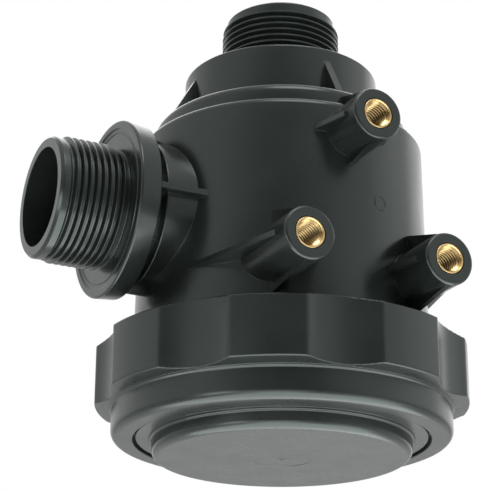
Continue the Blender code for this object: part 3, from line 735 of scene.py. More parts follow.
@dataclass(frozen=True)
class HousingSize:
    """Sizes of the housing moulding: metres, degrees for turns, and slopes as shares.

    Args:
        rim_lead: how far the rim's chamfer reaches in and up.
        inlet_slope: from where to where the inlet's thread core widens to its lead, seen from
            the thread's top.
        line_across: where the fine line on the flange starts to sink, is deepest and ends,
            inwards from its outer edge.
    """

    rim: float = 12.9 * MM
    rim_lead: Point = (0.6 * MM, 1.2 * MM)
    thread_core: float = 50.9 * MM
    thread: Helix = Helix(
        pitch=6.0 * MM,
        root=thread_core,
        crest=53.2 * MM,
        foot=rim + 2.0 * MM,
        turns=3.0,
        base_width=3.2 * MM,
        crest_width=1.6 * MM,
        steps=144,
    )
    core_top: float = 35.0 * MM
    barrel_foot: float = 36.0 * MM
    barrel: float = 50.0 * MM
    barrel_top_radius: float = 49.3 * MM
    barrel_top: float = 109.4 * MM
    barrel_fillet: float = 4.5 * MM
    shoulder: float = 44.5 * MM
    shoulder_top: float = 117.1 * MM
    shoulder_fillet: float = 3.0 * MM
    neck: float = 34.1 * MM
    neck_top: float = 136.4 * MM
    outlet_foot: float = 142.0 * MM
    outlet_thread_top: float = 158.2 * MM
    outlet_top: float = 161.0 * MM
    outlet_lead: float = 0.7 * MM
    outlet_phase: float = 200.0
    bore: float = 45.7 * MM
    bore_top: float = 45.0 * MM
    inner_step: float = 104.6 * MM
    top_bore: float = 40.2 * MM
    ceiling: float = 112.3 * MM
    neck_bore: float = 30.0 * MM
    neck_ceiling: float = 131.4 * MM
    wall: float = 4.3 * MM
    neck_rib: float = 2.5 * MM
    neck_rib_foot: float = 42.0 * MM
    neck_rib_top: float = 131.7 * MM
    neck_rib_root: float = 2.0 * MM
    neck_rib_sunk: float = 2.4 * MM
    neck_rib_step: float = 0.4 * MM
    inlet_height: float = 77.4 * MM
    inlet_end: float = 88.5 * MM
    inlet_thread_foot: float = 65.4 * MM
    inlet_thread_top: float = 85.1 * MM
    inlet_slope: Point = (-0.4 * MM, 0.2 * MM)
    inlet_lead: float = 1.0 * MM
    inlet_phase: float = 60.0
    flange_front: float = 65.3 * MM
    flange_back: float = 58.0 * MM
    flange_radius: float = 30.0 * MM
    flange_back_radius: float = 29.4 * MM
    flange_rim: float = 2.6 * MM
    flange_dish: float = 0.5 * MM
    line_setback: float = 1.0 * MM
    line_depth: float = 0.25 * MM
    line_across: Point = (0.2 * MM, 0.6 * MM, 0.8 * MM)
    collar: float = 24.5 * MM
    collar_end: float = 54.0 * MM
    groove: float = 20.5 * MM
    gusset: float = 2.0 * MM
    gusset_reach: float = 28.0 * MM
    boss: float = 8.7 * MM
    boss_face: float = 66.5 * MM
    boss_fillet: float = 0.95 * MM
    boss_places: tuple[Point, ...] = (
        (0.0, 98.5 * MM),
        (-25.0 * MM, 53.5 * MM),
        (25.0 * MM, 53.5 * MM),
    )
    boss_rib: float = 1.8 * MM
    rib_setback: float = 0.6 * MM
    side_setback: float = 5.0 * MM
    rib_inset: float = 0.2 * MM
    side_slope: float = 0.26
    upper_slope: float = 0.30
    lower_slope: float = 0.16
    insert_hole: float = 5.3 * MM
    insert_length: float = 14.0 * MM
    insert_play: float = 0.3 * MM
    gate_turn: float = -77.05
    gate_height: float = 76.1 * MM
    gate_reach: float = 49.75 * MM
    gate_depth: float = 1.0 * MM
    gate_radius: float = 2.3 * MM
    gate_width: float = 0.45 * MM


@dataclass(frozen=True)
class HousingFacets:
    """How finely the housing's turned pieces are faceted, round the axis and along it."""

    barrel: int = 192
    inlet: int = 144
    cavity: int = 128
    boss: int = 96
    inlet_bore: int = 96
    pocket: int = 64
    gate_mark: int = 48
    outside: float = 4 * MM
    shaft: float = 5 * MM
    inside: float = 8 * MM


@dataclass
class Housing:
    """The moulded housing with its three threads."""

    size: HousingSize = HousingSize()
    pipe: PipeSize = PipeSize()
    facets: HousingFacets = HousingFacets()

    def build(self) -> None:
        """Makes the housing and its threads and puts them on their body."""
        size, pipe, facets = self.size, self.pipe, self.facets
        body = turned("housing_moulding", finer(self._outside(), facets.outside), facets.barrel)
        unions = [self._inlet(), *self._gussets(), *self._neck_ribs(), self._gate_mark()]
        cuts = []
        hole_foot = size.boss_face - size.insert_length - size.insert_play
        hole = block(0.0, size.insert_hole, hole_foot, size.boss_face + BEYOND)
        for number, (x, z) in enumerate(size.boss_places, start=1):
            unions += self._boss(number, x, z)
            cuts.append(turned(f"insert_pocket_{number}", hole, facets.pocket, along_boss(x, z)))
        cuts.append(turned("cavity", finer(self._cavity(), facets.inside), facets.cavity))
        bore = finer(block(0.0, pipe.bore, 0.0, size.inlet_end + BEYOND), facets.inside)
        out = along_inlet(size.inlet_height)
        cuts.append(turned("inlet_bore", bore, facets.inlet_bore, out))
        combine(body, unions, cuts)
        dress(body, Body.HOUSING, Slot.HOUSING, "housing")

        outlet = pipe.helix(size.outlet_foot, size.outlet_thread_top, size.outlet_phase)
        outlet.ridge("outlet_thread", Body.HOUSING, Slot.HOUSING)
        inlet = pipe.helix(size.inlet_thread_foot, size.inlet_thread_top, size.inlet_phase)
        inlet.ridge("inlet_thread", Body.HOUSING, Slot.HOUSING, out)
        size.thread.ridge("housing_thread", Body.HOUSING, Slot.HOUSING)

    def _outside(self) -> list[Point]:
        """Gives the outer profile of barrel, shoulder, neck and outlet.

        Returns:
            Points as radius and height, from the rim's middle to the outlet's middle.
        """
        size, core = self.size, self.pipe.core
        return rounded(
            [
                (0.0, size.rim),
                (size.thread_core - size.rim_lead[0], size.rim, SOFT),
                (size.thread_core, size.rim + size.rim_lead[1], SOFT),
                (size.thread_core, size.core_top, EASED),
                (size.barrel, size.barrel_foot, EASED),
                (size.barrel_top_radius, size.barrel_top, size.barrel_fillet),
                (size.shoulder, size.barrel_top, FULL),
                (size.shoulder, size.shoulder_top, size.shoulder_fillet),
                (size.neck, size.shoulder_top, FULL),
                (size.neck, size.neck_top, BOLD),
                (core, size.neck_top, SOFT),
                (core, size.outlet_top - size.outlet_lead, EASED),
                (core - size.outlet_lead, size.outlet_top, FINE),
                (0.0, size.outlet_top),
            ]
        )

    def _cavity(self) -> list[Point]:
        """Gives the profile of the hollow that runs from the rim to the outlet.

        Returns:
            Points as radius and height, past both ends.
        """
        size, pipe = self.size, self.pipe
        return [
            (0.0, size.rim - BEYOND),
            (size.bore, size.rim - BEYOND),
            (size.bore, size.barrel_foot),
            (size.bore_top, size.inner_step),
            (size.top_bore, size.inner_step),
            (size.top_bore, size.ceiling),
            (size.neck_bore, size.ceiling),
            (size.neck_bore, size.neck_ceiling),
            (pipe.bore, size.neck_ceiling),
            (pipe.bore, size.outlet_top + BEYOND),
            (0.0, size.outlet_top + BEYOND),
        ]

    def _inlet(self) -> Object:
        """Makes the inlet: collar, groove, flange and the core of its thread.

        Returns:
            The inlet without its bore.
        """
        size, pipe = self.size, self.pipe
        rim_inside = size.flange_radius - size.flange_rim
        face = size.flange_front - size.flange_dish
        line = rim_inside - size.flange_dish - size.line_setback
        near, far, end = (line - across for across in size.line_across)
        # The collar starts well inside the barrel, where the cavity cuts it off.
        profile = rounded(
            [
                (0.0, size.bore / 2),
                (size.collar, size.bore / 2),
                (size.collar, size.collar_end, FULL),
                (size.groove, size.collar_end),
                (size.groove, size.flange_back),
                (size.flange_back_radius, size.flange_back, FULL),
                (size.flange_radius, size.flange_front, BOLD),
                (rim_inside, size.flange_front, FINE),
                (rim_inside - size.flange_dish, face, EASED),
                (line, face, CRISP),
                (near, face - size.line_depth, CRISP),
                (far, face - size.line_depth, CRISP),
                (end, face, CRISP),
                (pipe.core, face, EASED),
                (pipe.core, size.inlet_thread_top + size.inlet_slope[0], FINE),
                (pipe.lead, size.inlet_thread_top + size.inlet_slope[1], EASED),
                (pipe.lead, size.inlet_end - size.inlet_lead, SOFT),
                (pipe.lead_edge, size.inlet_end, SOFT),
                (0.0, size.inlet_end),
            ]
        )
        fine = finer(profile, self.facets.outside)
        return turned("inlet", fine, self.facets.inlet, along_inlet(size.inlet_height))

    def _gussets(self) -> list[Object]:
        """Makes the four plates that bridge the inlet's groove.

        Returns:
            The plates, one each quarter turn.
        """
        size = self.size
        made = []
        in_flange = (size.flange_front + size.flange_back) / 2
        inside = size.groove - size.gusset / 2
        for number in range(4):
            # The plates above and below meet the barrel's wall nearer to its axis.
            level = number % 2 == 0
            deep = size.bore if level else math.sqrt(size.bore**2 - size.gusset_reach**2)
            foot = deep + (size.wall - size.gusset) / 2
            outline = block(inside, size.gusset_reach, foot, in_flange)
            placed = along_inlet(size.inlet_height) @ standing(number)
            made.append(plate(f"gusset_{number + 1}", outline, size.gusset, placed))
        return made

    def _gate_mark(self) -> Object:
        """Makes the fine raised ring that moulding leaves on the barrel.

        Returns:
            The ring, which the barrel takes in.
        """
        size, half = self.size, self.size.gate_width / 2
        inside, outside = size.gate_radius - half, size.gate_radius + half
        profile = block(inside, outside, size.gate_reach - size.gate_depth, size.gate_reach)
        turn = Matrix.Rotation(math.radians(size.gate_turn), 4, "Z")
        placed = Matrix.Translation((0, 0, size.gate_height)) @ turn
        outward = placed @ Matrix.Rotation(QUARTER, 4, "Y")
        return turned("gate_mark", profile, self.facets.gate_mark, outward)

    def _neck_ribs(self) -> list[Object]:
        """Makes the four tapered ribs of the neck.

        Returns:
            The ribs, one each quarter turn.
        """
        size = self.size
        root, foot = size.neck - size.neck_rib_root, size.shoulder_top - size.neck_rib_sunk
        outline = [
            (root, foot),
            (size.neck_rib_foot, foot),
            (size.neck_rib_foot, size.shoulder_top + size.neck_rib_step),
            (size.neck - size.rib_inset, size.neck_rib_top),
            (root, size.neck_rib_top),
        ]
        return [
            plate(f"neck_rib_{number + 1}", outline, size.neck_rib, standing(number))
            for number in range(4)
        ]

    def _boss(self, number: int, x: float, z: float) -> list[Object]:
        """Makes one mounting boss with its side rib and its upright rib.

        Args:
            number: which boss, for the names.
            x: where its axis is, sideways.
            z: where its axis is, in height.

        Returns:
            The shaft and its two ribs.
        """
        size = self.size
        middle = size.barrel_top_radius - size.wall / 2
        root = math.sqrt(middle**2 - x**2)
        shaft_root = math.sqrt(middle**2 - (abs(x) + size.boss) ** 2)
        shaft = rounded(
            [
                (0.0, shaft_root),
                (size.boss, shaft_root),
                (size.boss, size.boss_face, size.boss_fillet),
                (0.0, size.boss_face),
            ]
        )
        frame = along_boss(x, z)
        fine = finer(shaft, self.facets.shaft)
        made = [turned(f"boss_{number}", fine, self.facets.boss, frame)]

        front = size.boss_face - size.rib_setback
        # The side rib starts well inside the barrel, where the cavity cuts it off.
        side_root = size.barrel / 3
        start = size.boss - size.rib_inset
        side_front = size.boss_face - size.side_setback
        side_start = start + size.side_slope * (front - side_front)
        side_foot = start + size.side_slope * (front - side_root)
        side = [
            (-side_start, side_front),
            (-side_foot, side_root),
            (side_foot, side_root),
            (side_start, side_front),
        ]
        side_frame = frame @ Matrix.Rotation(QUARTER, 4, "X")
        made.append(plate(f"boss_{number}_side", side, size.boss_rib, side_frame))

        at_shoulder = z + size.boss > size.barrel_top - size.barrel_fillet
        upper_root = size.shoulder - size.wall / 2 if at_shoulder else root
        upright = [
            (start, front),
            (start + size.upper_slope * (front - upper_root), upper_root),
            (0.0, upper_root),
            (0.0, root),
            (-start - size.lower_slope * (front - root), root),
            (-start, front),
        ]
        upright_frame = side_frame @ Matrix.Rotation(QUARTER, 4, "Y")
        made.append(plate(f"boss_{number}_upright", upright, size.boss_rib, upright_frame))
        return made


@dataclass(frozen=True)
class NutSize:
    """Sizes of the ring nut: metres, and degrees for turns."""

    lip_bottom: float = 5.8 * MM
    lip_top: float = 8.3 * MM
    lip_fillet: float = 2.7 * MM
    opening: float = 49.5 * MM
    bore: float = 53.6 * MM
    skirt: float = 56.8 * MM
    skirt_top: float = 15.4 * MM
    bead: float = 57.5 * MM
    bead_top: float = 16.3 * MM
    grip: float = 62.4 * MM
    grip_foot: float = 17.3 * MM
    top: float = 38.3 * MM
    chamfer_height: float = 1.3 * MM
    chamfer_width: float = 3.9 * MM
    lobes: int = 8
    first_lobe: float = 13.4
    scallop_reach: float = 85.3 * MM
    scallop_radius: float = 27.0 * MM
    blend: float = 0.5 * MM
    thread: Helix = Helix(
        pitch=6.0 * MM,
        root=bore,
        crest=51.4 * MM,
        foot=lip_top + 9.6 * MM,
        turns=2.9,
        base_width=3.2 * MM,
        crest_width=1.8 * MM,
        steps=144,
    )


@dataclass
class RingNut:
    """The lobed ring nut with its inner thread."""

    size: NutSize = NutSize()
    steps: int = 576
    longest_side: float = 1.1 * MM

    def build(self) -> None:
        """Makes the nut and its thread and puts them on their body."""
        nut = turned("ring_nut_moulding", finer(self._profile(), self.longest_side), self.steps)
        self._scallop(nut)
        dress(nut, Body.RING_NUT, Slot.NUT, "ring_nut")
        self.size.thread.ridge("ring_nut_thread", Body.RING_NUT, Slot.NUT)

    def _profile(self) -> list[Point]:
        """Gives the nut's section before its outside is hollowed.

        Returns:
            Points as radius and height, round the whole wall.
        """
        size = self.size
        return rounded(
            [
                (size.opening, size.lip_bottom, EASED),
                (size.skirt, size.lip_bottom, size.lip_fillet),
                (size.skirt, size.skirt_top, EASED),
                (size.bead, (size.skirt_top + size.bead_top) / 2, FINE),
                (size.bead, size.bead_top, FINE),
                (size.grip, size.grip_foot, FULL),
                (size.grip, size.top - size.chamfer_height, FULL),
                (size.grip - size.chamfer_width, size.top, SOFT),
                (size.bore, size.top, FULL),
                (size.bore, size.lip_top),
                (size.opening, size.lip_top, EASED),
            ]
        )

    def _scallop(self, nut: Object) -> None:
        """Hollows the grip's outside between its lobes with Geometry Nodes.

        Args:
            nut: the turned nut.
        """
        size = self.size
        tree = GeometryTree("scallops")
        lobes, first, reach, radius, blend = tree.numbers(
            lobes=float(size.lobes),
            first_lobe=math.radians(size.first_lobe),
            scallop_reach=size.scallop_reach,
            scallop_radius=size.scallop_radius,
            blend=size.blend,
        )
        place = tree.node("GeometryNodeInputPosition").outputs[0]
        x, y, z = tree.node("ShaderNodeSeparateXYZ", {"Vector": place}).outputs
        across, along = (tree.math("POWER", part, 2.0) for part in (x, y))
        far = tree.math("SQRT", tree.math("ADD", across, along))
        angle = tree.math("SUBTRACT", tree.math("ARCTAN2", y, x), first)
        share = tree.math("DIVIDE", 2 * math.pi, lobes)
        # From the nearest scallop's middle, which is half a lobe from the lobe's own middle.
        wrapped = tree.math("FLOORED_MODULO", angle, share)
        off = tree.math("SUBTRACT", wrapped, tree.math("MULTIPLY", share, 0.5))
        side = tree.math("MULTIPLY", reach, tree.math("SINE", off))
        wide, aside = (tree.math("POWER", length, 2.0) for length in (radius, side))
        inside = tree.math("SUBTRACT", wide, aside)
        half = tree.math("SQRT", tree.math("MAXIMUM", inside, 0.0))
        limit = tree.math("SUBTRACT", tree.math("MULTIPLY", reach, tree.math("COSINE", off)), half)
        # Where the scallop's circle is missed, the limit is put a metre out.
        missed = tree.math("LESS_THAN", inside, 0.0)
        kept = tree.math("SMOOTH_MIN", far, tree.math("ADD", limit, missed), blend)
        scale = tree.math("DIVIDE", kept, far)
        moved = tree.vector(*(tree.math("MULTIPLY", part, scale) for part in (x, y)), z)
        places = {"Geometry": tree.inputs.outputs["Geometry"], "Position": moved}
        hollowed = tree.node("GeometryNodeSetPosition", places)
        tree.bake(Slot.NUT, hollowed.outputs[0], obj=nut)


@dataclass(frozen=True)
class CoverSize:
    """Sizes of the bottom cover and its rubber ring, in metres."""

    wall: float = 43.2 * MM
    edge_fillet: float = 4.8 * MM
    step: float = 6.5 * MM
    root_ring: float = 0.9 * MM
    pilot: float = 48.6 * MM
    flange: float = 52.8 * MM
    flange_bottom: float = 8.6 * MM
    flange_top: float = 12.6 * MM
    plug: float = 45.2 * MM
    plug_top: float = 26.0 * MM
    plug_lead: float = 1.0 * MM
    seat: float = 38.0 * MM
    floor: float = 5.0 * MM
    groove_floor: float = 42.3 * MM
    groove_low: float = 18.0 * MM
    groove_high: float = 21.4 * MM
    ring_radius: float = 44.0 * MM
    ring_height: float = 19.7 * MM
    ring_section: float = 1.4 * MM
    mark_radius: float = 9.7 * MM
    mark_depth: float = 0.18 * MM
    mark_slope: float = 0.4 * MM
    pip_radius: float = 0.7 * MM
    pip_slope: float = 0.2 * MM
    pip_depth: float = 1.0 * MM
    pip_rim: Point = (1.0 * MM, 1.2 * MM)


@dataclass
class Cover:
    """The bottom cover and its rubber ring."""

    size: CoverSize = CoverSize()
    steps: int = 192

    def build(self) -> None:
        """Makes the cover and its ring and puts them on their body."""
        size = self.size
        ring_low = size.step - size.root_ring
        profile = rounded(
            [
                (0.0, size.pip_depth),
                (size.pip_radius - size.pip_slope, size.pip_depth, CRISP),
                (size.pip_radius, size.mark_depth / 2, CRISP),
                (size.pip_radius + size.pip_rim[0], size.mark_depth / 2, CRISP),
                (size.pip_radius + size.pip_rim[1], size.mark_depth, CRISP),
                (size.mark_radius - size.mark_slope, size.mark_depth, CRISP),
                (size.mark_radius, 0.0, CRISP),
                (size.wall, 0.0, size.edge_fillet),
                (size.wall, ring_low, SOFT),
                (size.wall + size.root_ring, ring_low, SOFT),
                (size.wall + size.root_ring, size.step, FINE),
                (size.pilot, size.step, SOFT),
                (size.pilot, size.flange_bottom),
                (size.flange, size.flange_bottom, SOFT),
                (size.flange, size.flange_top, SOFT),
                (size.plug, size.flange_top, SOFT),
                (size.plug, size.groove_low, FINE),
                (size.groove_floor, size.groove_low, FINE),
                (size.groove_floor, size.groove_high, FINE),
                (size.plug, size.groove_high, FINE),
                (size.plug, size.plug_top - size.plug_lead, SOFT),
                (size.plug - size.plug_lead, size.plug_top, SOFT),
                (size.seat, size.plug_top, SOFT),
                (size.seat, size.floor, BOLD),
                (0.0, size.floor),
            ]
        )
        cover = turned("cover_moulding", profile, self.steps)
        dress(cover, Body.COVER, Slot.COVER, "cover")
        section = disc(size.ring_radius, size.ring_height, size.ring_section)
        ring = turned("cover_seal", section, self.steps)
        dress(ring, Body.COVER, Slot.RUBBER, "cover_ring")


@dataclass(frozen=True)
class InsertSize:
    """Sizes of a brass threaded insert for an M8 screw, in metres."""

    radius: float = 5.0 * MM
    thread_root: float = 4.3 * MM
    length: float = HousingSize.insert_length
    chamfer: float = 0.25 * MM
    face: float = HousingSize.boss_face
    groove: float = 0.5 * MM
    groove_half: float = 1.0 * MM
    thread: Helix = Helix(
        pitch=1.25 * MM,
        root=thread_root,
        crest=3.55 * MM,
        foot=-length + 0.6 * MM,
        turns=10.2,
        base_width=1.08 * MM,
        crest_width=0.2 * MM,
        steps=64,
    )


@dataclass
class Inserts:
    """The three brass inserts in the bosses."""

    size: InsertSize = InsertSize()
    places: tuple[Point, ...] = HousingSize.boss_places
    steps: int = 96

    def build(self) -> None:
        """Makes the inserts with their threads and puts them on the housing's body."""
        size = self.size
        low, high = (-size.length / 2 + half for half in (-size.groove_half, size.groove_half))
        profile = rounded(
            [
                (size.thread_root + size.chamfer, 0.0, CRISP),
                (size.thread_root, -size.chamfer, CRISP),
                (size.thread_root, -size.length),
                (size.radius, -size.length, EASED),
                (size.radius, low, FINE),
                (size.radius - size.groove, low),
                (size.radius - size.groove, high),
                (size.radius, high, FINE),
                (size.radius, 0.0, FINE),
            ]
        )
        for number, (x, z) in enumerate(self.places, start=1):
            frame = along_boss(x, z) @ Matrix.Translation((0, 0, size.face))
            sleeve = turned(f"insert_sleeve_{number}", profile, self.steps, frame)
            dress(sleeve, Body.HOUSING, Slot.BRASS, f"insert_{number}")
            size.thread.ridge(f"insert_thread_{number}", Body.HOUSING, Slot.BRASS, frame)


@dataclass(frozen=True)
class CartridgeSize:
    """Sizes of the strainer cartridge, in metres."""

    ring: float = 37.0 * MM
    ring_bore: float = 28.5 * MM
    bottom_foot: float = 7.6 * MM
    ring_floor: float = 3.0 * MM
    lip: float = 5.5 * MM
    lip_inside: float = 35.3 * MM
    top: float = 112.0 * MM
    spigot: float = 29.3 * MM
    spigot_bore: float = 24.5 * MM
    spigot_top: float = 126.0 * MM
    groove_floor: float = 27.0 * MM
    groove_play: float = 0.3 * MM
    neck_ring: float = 28.5 * MM
    neck_ring_height: float = 119.2 * MM
    neck_ring_section: float = 1.2 * MM
    gasket_inside: float = 31.5 * MM
    gasket_outside: float = 36.7 * MM
    gasket_bottom: float = 5.3 * MM
    gasket_top: float = 7.3 * MM
    sleeve_bottom: float = 10.9 * MM
    sleeve_top: float = 108.7 * MM
    mesh_radius: float = 34.7 * MM
    wire: float = 0.14 * MM
    weave: float = 0.24 * MM
    wires: int = 150
    hoops: int = 70
    support: float = 34.1 * MM
    support_wall: float = 2.6 * MM
    support_bars: int = 6
    support_bar_width: float = 5.2 * MM
    support_rows: int = 5
    support_hoop: float = 3.0 * MM


@dataclass
class Cartridge:
    """The strainer cartridge: a ribbed tube in a woven sleeve, end rings and seals."""

    size: CartridgeSize = CartridgeSize()
    steps: int = 144
    wire_sides: int = 3

    def build(self) -> None:
        """Makes the cartridge's pieces and puts them on their body."""
        self._rings()
        self._seals()
        self._support()
        self._mesh()

    def _rings(self) -> None:
        """Makes the bottom ring and the top ring with its spigot."""
        size = self.size
        low = size.bottom_foot
        lip_top = low + size.ring_floor + size.lip
        bottom = [
            (size.ring_bore, low, SOFT),
            (size.ring, low, FULL),
            (size.ring, lip_top, SOFT),
            (size.lip_inside, lip_top, SOFT),
            (size.lip_inside, low + size.ring_floor),
            (size.ring_bore, low + size.ring_floor, SOFT),
        ]
        floor = size.top - size.ring_floor
        reach = size.neck_ring_section + size.groove_play
        groove_low, groove_high = size.neck_ring_height - reach, size.neck_ring_height + reach
        top = [
            (size.spigot_bore, floor, SOFT),
            (size.lip_inside, floor),
            (size.lip_inside, floor - size.lip, SOFT),
            (size.ring, floor - size.lip, SOFT),
            (size.ring, size.top, FULL),
            (size.spigot, size.top, SOFT),
            (size.spigot, groove_low, FINE),
            (size.groove_floor, groove_low, FINE),
            (size.groove_floor, groove_high, FINE),
            (size.spigot, groove_high, FINE),
            (size.spigot, size.spigot_top, BOLD),
            (size.spigot_bore, size.spigot_top, SOFT),
        ]
        for name, corners in (("cartridge_bottom_ring", bottom), ("cartridge_top_ring", top)):
            ring = turned(f"{name}_moulding", rounded(corners), self.steps)
            dress(ring, Body.CARTRIDGE, Slot.CARTRIDGE, name)

    def _seals(self) -> None:
        """Makes the flat gasket and the round ring on the spigot."""
        size = self.size
        flat = block(size.gasket_inside, size.gasket_outside, size.gasket_bottom, size.gasket_top)
        gasket = rounded([(*corner, EASED) for corner in flat])
        neck_ring = disc(size.neck_ring, size.neck_ring_height, size.neck_ring_section)
        for name, profile in (("cartridge_gasket", gasket), ("cartridge_neck_ring", neck_ring)):
            seal = turned(f"{name}_rubber", profile, self.steps)
            dress(seal, Body.CARTRIDGE, Slot.RUBBER, name)

    def _support(self) -> None:
        """Makes the ribbed tube: hoops repeated up a line and bars repeated round a circle."""
        size = self.size
        tree = GeometryTree("support_tube")
        wall, hoop_height, bar_width, middle, low, length, rows, bars = tree.numbers(
            wall=size.support_wall,
            hoop_height=size.support_hoop,
            bar_width=size.support_bar_width,
            radius=size.support - size.support_wall / 2,
            bottom=size.sleeve_bottom,
            length=size.sleeve_top - size.sleeve_bottom,
            rows=size.support_rows,
            bars=size.support_bars,
        )
        section = tree.node(
            "GeometryNodeCurvePrimitiveQuadrilateral",
            {"Width": wall, "Height": hoop_height},
            mode="RECTANGLE",
        )
        hoop = tree.swept(tree.circle(self.steps, middle), section.outputs[0])
        first = tree.math("ADD", low, tree.math("MULTIPLY", hoop_height, 0.5))
        room = tree.math("SUBTRACT", length, hoop_height)
        hoops = tree.copies(tree.stack(rows, first, room), hoop)
        bar = tree.node("GeometryNodeMeshCube", {"Size": tree.vector(wall, bar_width, length)})
        index = tree.node("GeometryNodeInputIndex").outputs[0]
        turn = tree.math("DIVIDE", tree.math("MULTIPLY", index, 2 * math.pi), bars)
        ring = tree.copies(tree.circle(bars, middle), bar.outputs[0], turn)
        rise = tree.vector(z=tree.math("ADD", low, tree.math("MULTIPLY", length, 0.5)))
        raised = tree.node("GeometryNodeTransform", {"Geometry": ring, "Translation": rise})
        tube = tree.bake(Slot.CARTRIDGE, hoops, raised.outputs[0])
        dress(tube, Body.CARTRIDGE, Slot.CARTRIDGE, "cartridge_support")

    def _mesh(self) -> None:
        """Weaves the sleeve: hoops that pass over and under straight upright wires."""
        size = self.size
        tree = GeometryTree("woven_sleeve")
        radius, wire, weave, wires, hoops, low, length = tree.numbers(
            radius=size.mesh_radius,
            wire_radius=size.wire,
            weave=size.weave,
            upright_wires=size.wires,
            hoops=size.hoops,
            bottom=size.sleeve_bottom,
            length=size.sleeve_top - size.sleeve_bottom,
        )
        section = tree.circle(self.wire_sides, wire)
        ring = tree.circle(tree.math("MULTIPLY", wires, 2.0), 1.0)
        index = tree.node("GeometryNodeInputIndex").outputs[0]
        bend = tree.math("COSINE", tree.math("MULTIPLY", index, QUARTER))
        spread = tree.math("ADD", radius, tree.math("MULTIPLY", bend, weave))
        place = tree.node("GeometryNodeInputPosition").outputs[0]
        stretch = {"Vector": place, "Scale": spread}
        wavy = tree.node("ShaderNodeVectorMath", stretch, operation="SCALE")
        places = {"Geometry": ring, "Position": wavy.outputs[0]}
        hoop = tree.swept(tree.node("GeometryNodeSetPosition", places).outputs[0], section)
        edge = tree.math("MULTIPLY", wire, 2.0)
        room = tree.math("SUBTRACT", length, tree.math("MULTIPLY", edge, 2.0))
        levels = tree.stack(hoops, tree.math("ADD", low, edge), room)
        odd = tree.math("FLOORED_MODULO", index, 2.0)
        turn = tree.math("MULTIPLY", odd, tree.math("DIVIDE", 2 * math.pi, wires))
        hoop_set = tree.copies(levels, hoop, turn)
        ends = {
            "Start": tree.vector(z=low),
            "End": tree.vector(z=tree.math("ADD", low, length)),
        }
        line = tree.node("GeometryNodeCurvePrimitiveLine", ends).outputs[0]
        upright_set = tree.copies(tree.circle(wires, radius), tree.swept(line, section))
        sleeve = tree.bake(Slot.MESH, hoop_set, upright_set)
        dress(sleeve, Body.CARTRIDGE, Slot.MESH, "mesh_sleeve", sharp=False)


@dataclass(frozen=True)
class SoftBox:
    """A large soft light.

    Args:
        place: where it is, in metres.
        size: its width and height.
        radiance: how bright its surface is, where 1 is white.
        aim: the point it faces, which is the filter's middle for most.
    """

    place: Point
    size: Point
    radiance: float
    aim: Point = (0.0, 0.0, 0.08)


PAPER = {"Base Color": (0.92, 0.92, 0.92, 1.0), "Roughness": 0.8, "Specular IOR Level": 0.1}


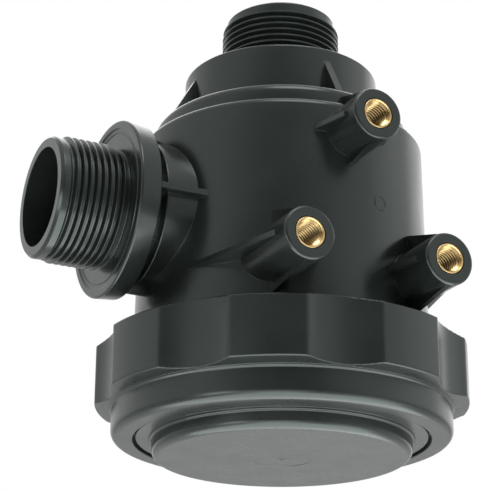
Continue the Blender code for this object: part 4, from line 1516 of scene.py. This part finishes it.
@dataclass
class Studio:
    """Floor, lights, surroundings, camera and render settings.

    Args:
        floor_fade: how far out the floor starts, and ends, to pass into white.
        tent_level: how bright the surroundings are to gloss.
        opening: cosines of the angle from the photographer's side between which the tent dims.
        opening_level: how bright the opening's middle is to gloss.
        fill_level: how bright the surroundings are to what is matt.
    """

    floor_height: float = -0.20
    floor_radius: float = 30.0
    floor_steps: int = 96
    floor_fade: Point = (0.2, 0.75)
    boxes: tuple[SoftBox, ...] = (
        SoftBox((0.30, 0.60, 0.90), (0.9, 0.7), 1.7),
        SoftBox((-0.10, -0.55, 0.95), (0.6, 0.45), 4.8),
        SoftBox((0.0, -0.08, -0.19), (0.5, 0.45), 3.9, aim=(0.0, -0.08, 1.0)),
        SoftBox((-0.75, -0.30, -0.10), (0.3, 0.3), 4.7),
        SoftBox((0.80, 0.45, 0.42), (0.8, 0.8), 0.5),
        SoftBox((0.80, -0.40, 0.42), (0.5, 0.6), 0.3),
        SoftBox((-0.35, -0.50, -0.19), (0.5, 0.4), 2.3, aim=(-0.35, -0.50, 1.0)),
        SoftBox((0.35, -0.45, -0.19), (0.4, 0.5), 1.9, aim=(0.35, -0.45, 1.0)),
    )
    tent_level: float = 1.0
    opening: Point = (0.35, 0.89)
    opening_level: float = 0.08
    fill_level: float = 0.54
    lens: float = 121.77
    sensor_width: float = 36.0
    clip: Point = (0.01, 100.0)
    place: Point = (-251.05 * MM, -475.23 * MM, -127.71 * MM)
    right: Point = (0.894036, -0.447971, 0.004549)
    down: Point = (0.162571, 0.314956, -0.935079)
    forward: Point = (0.417456, 0.836735, 0.354409)

    def build(self) -> None:
        """Makes the studio and sets the render up."""
        self._floor()
        self._world()
        for number, box in enumerate(self.boxes, start=1):
            self._light(number, box)
        self._camera()
        bpy.context.scene.view_settings.view_transform = "Standard"

    def _floor(self) -> None:
        """Lays a plain pale floor that passes into the camera's white background."""
        bm = bmesh.new()
        steps, radius = self.floor_steps, self.floor_radius
        bmesh.ops.create_circle(bm, cap_ends=True, segments=steps, radius=radius)
        bmesh.ops.translate(bm, verts=bm.verts, vec=(0, 0, self.floor_height))
        floor = object_from("floor", bm)
        if floor.data.polygons[0].normal.z < 0:
            floor.data.flip_normals()
        paper = bpy.data.materials.new("floor_paper")
        paper.use_nodes = True
        nodes = Nodes(paper.node_tree)
        shader = nodes.tree.nodes["Principled BSDF"]
        for name, value in PAPER.items():
            nodes.put(shader.inputs[name], value)
        place = nodes.node("ShaderNodeTexCoord").outputs["Object"]
        far = nodes.node("ShaderNodeVectorMath", {0: place}, operation="LENGTH").outputs["Value"]
        share = nodes.ranged(far, self.floor_fade, (0.0, 1.0), "SMOOTHSTEP")
        camera = nodes.node("ShaderNodeLightPath").outputs["Is Camera Ray"]
        white = nodes.node("ShaderNodeEmission", {"Color": WHITE, "Strength": 1.0})
        seen = {0: nodes.math("MULTIPLY", share, camera), 1: shader.outputs[0]}
        pick = nodes.node("ShaderNodeMixShader", {**seen, 2: white.outputs[0]})
        nodes.put(nodes.tree.nodes["Material Output"].inputs["Surface"], pick.outputs[0])
        floor.data.materials.append(paper)
        floor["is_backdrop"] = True

    def _world(self) -> None:
        """Sets white surroundings: plain to the camera, a tent with a dim opening to gloss."""
        world = bpy.data.worlds.new("surroundings")
        bpy.context.scene.world = world
        world.use_nodes = True
        world.node_tree.nodes.clear()
        nodes = Nodes(world.node_tree)
        # Gloss shows a white tent with a dim opening on the photographer's side.
        aims = {0: nodes.node("ShaderNodeTexCoord").outputs["Generated"], 1: -Vector(self.forward)}
        toward = nodes.node("ShaderNodeVectorMath", aims, operation="DOT_PRODUCT")
        levels = (self.tent_level, self.opening_level)
        tent = nodes.ranged(toward.outputs["Value"], self.opening, levels, "SMOOTHSTEP")
        path = nodes.node("ShaderNodeLightPath").outputs
        level = nodes.mixed(path["Is Glossy Ray"], (self.fill_level, tent))
        around, plain = (
            nodes.node("ShaderNodeBackground", {"Color": WHITE, "Strength": strength}).outputs[0]
            for strength in (level, 1.0)
        )
        straight = nodes.math("MAXIMUM", path["Is Camera Ray"], path["Is Transmission Ray"])
        pick = nodes.node("ShaderNodeMixShader", {0: straight, 1: around, 2: plain})
        nodes.node("ShaderNodeOutputWorld", {"Surface": pick.outputs[0]})

    def _light(self, number: int, box: SoftBox) -> None:
        """Makes one large soft light that the camera doesn't see.

        Args:
            number: which light, for its name.
            box: its place, size and strength.
        """
        data = bpy.data.lights.new(f"soft_box_{number}", "AREA")
        data.shape = "RECTANGLE"
        data.size, data.size_y = box.size
        data.energy = box.radiance * math.pi * box.size[0] * box.size[1]
        light = linked(data.name, data)
        light.location = box.place
        aim = Vector(box.aim) - Vector(box.place)
        light.rotation_euler = aim.to_track_quat("-Z", "Y").to_euler()
        light.visible_camera = False

    def _camera(self) -> None:
        """Puts the camera where the photograph was taken from."""
        data = bpy.data.cameras.new("camera")
        data.sensor_width = self.sensor_width
        data.lens = self.lens
        data.clip_start, data.clip_end = self.clip
        camera = linked("camera", data)
        columns = (Vector(self.right), -Vector(self.down), -Vector(self.forward))
        turn = Matrix(columns).transposed().to_4x4()
        camera.matrix_world = Matrix.Translation(self.place) @ turn
        bpy.context.scene.camera = camera


def note_size(when: str, sizes: dict[str, object]) -> None:
    """Adds the object's bounds to the size notes.

    Args:
        when: the notes' key for these bounds.
        sizes: the notes so far.
    """
    low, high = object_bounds()
    sizes[when] = [*low, *high]


def main() -> None:
    """Builds the whole scene."""
    logging.basicConfig(level=logging.INFO, format="%(name)s: %(message)s")
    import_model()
    sizes: dict[str, object] = {}
    note_size("after_load", sizes)
    for part in (Housing(), Inserts(), RingNut(), Cover(), Cartridge(), Studio()):
        part.build()
    note_size("before_finish", sizes)


if __name__ == "__main__":
    main()
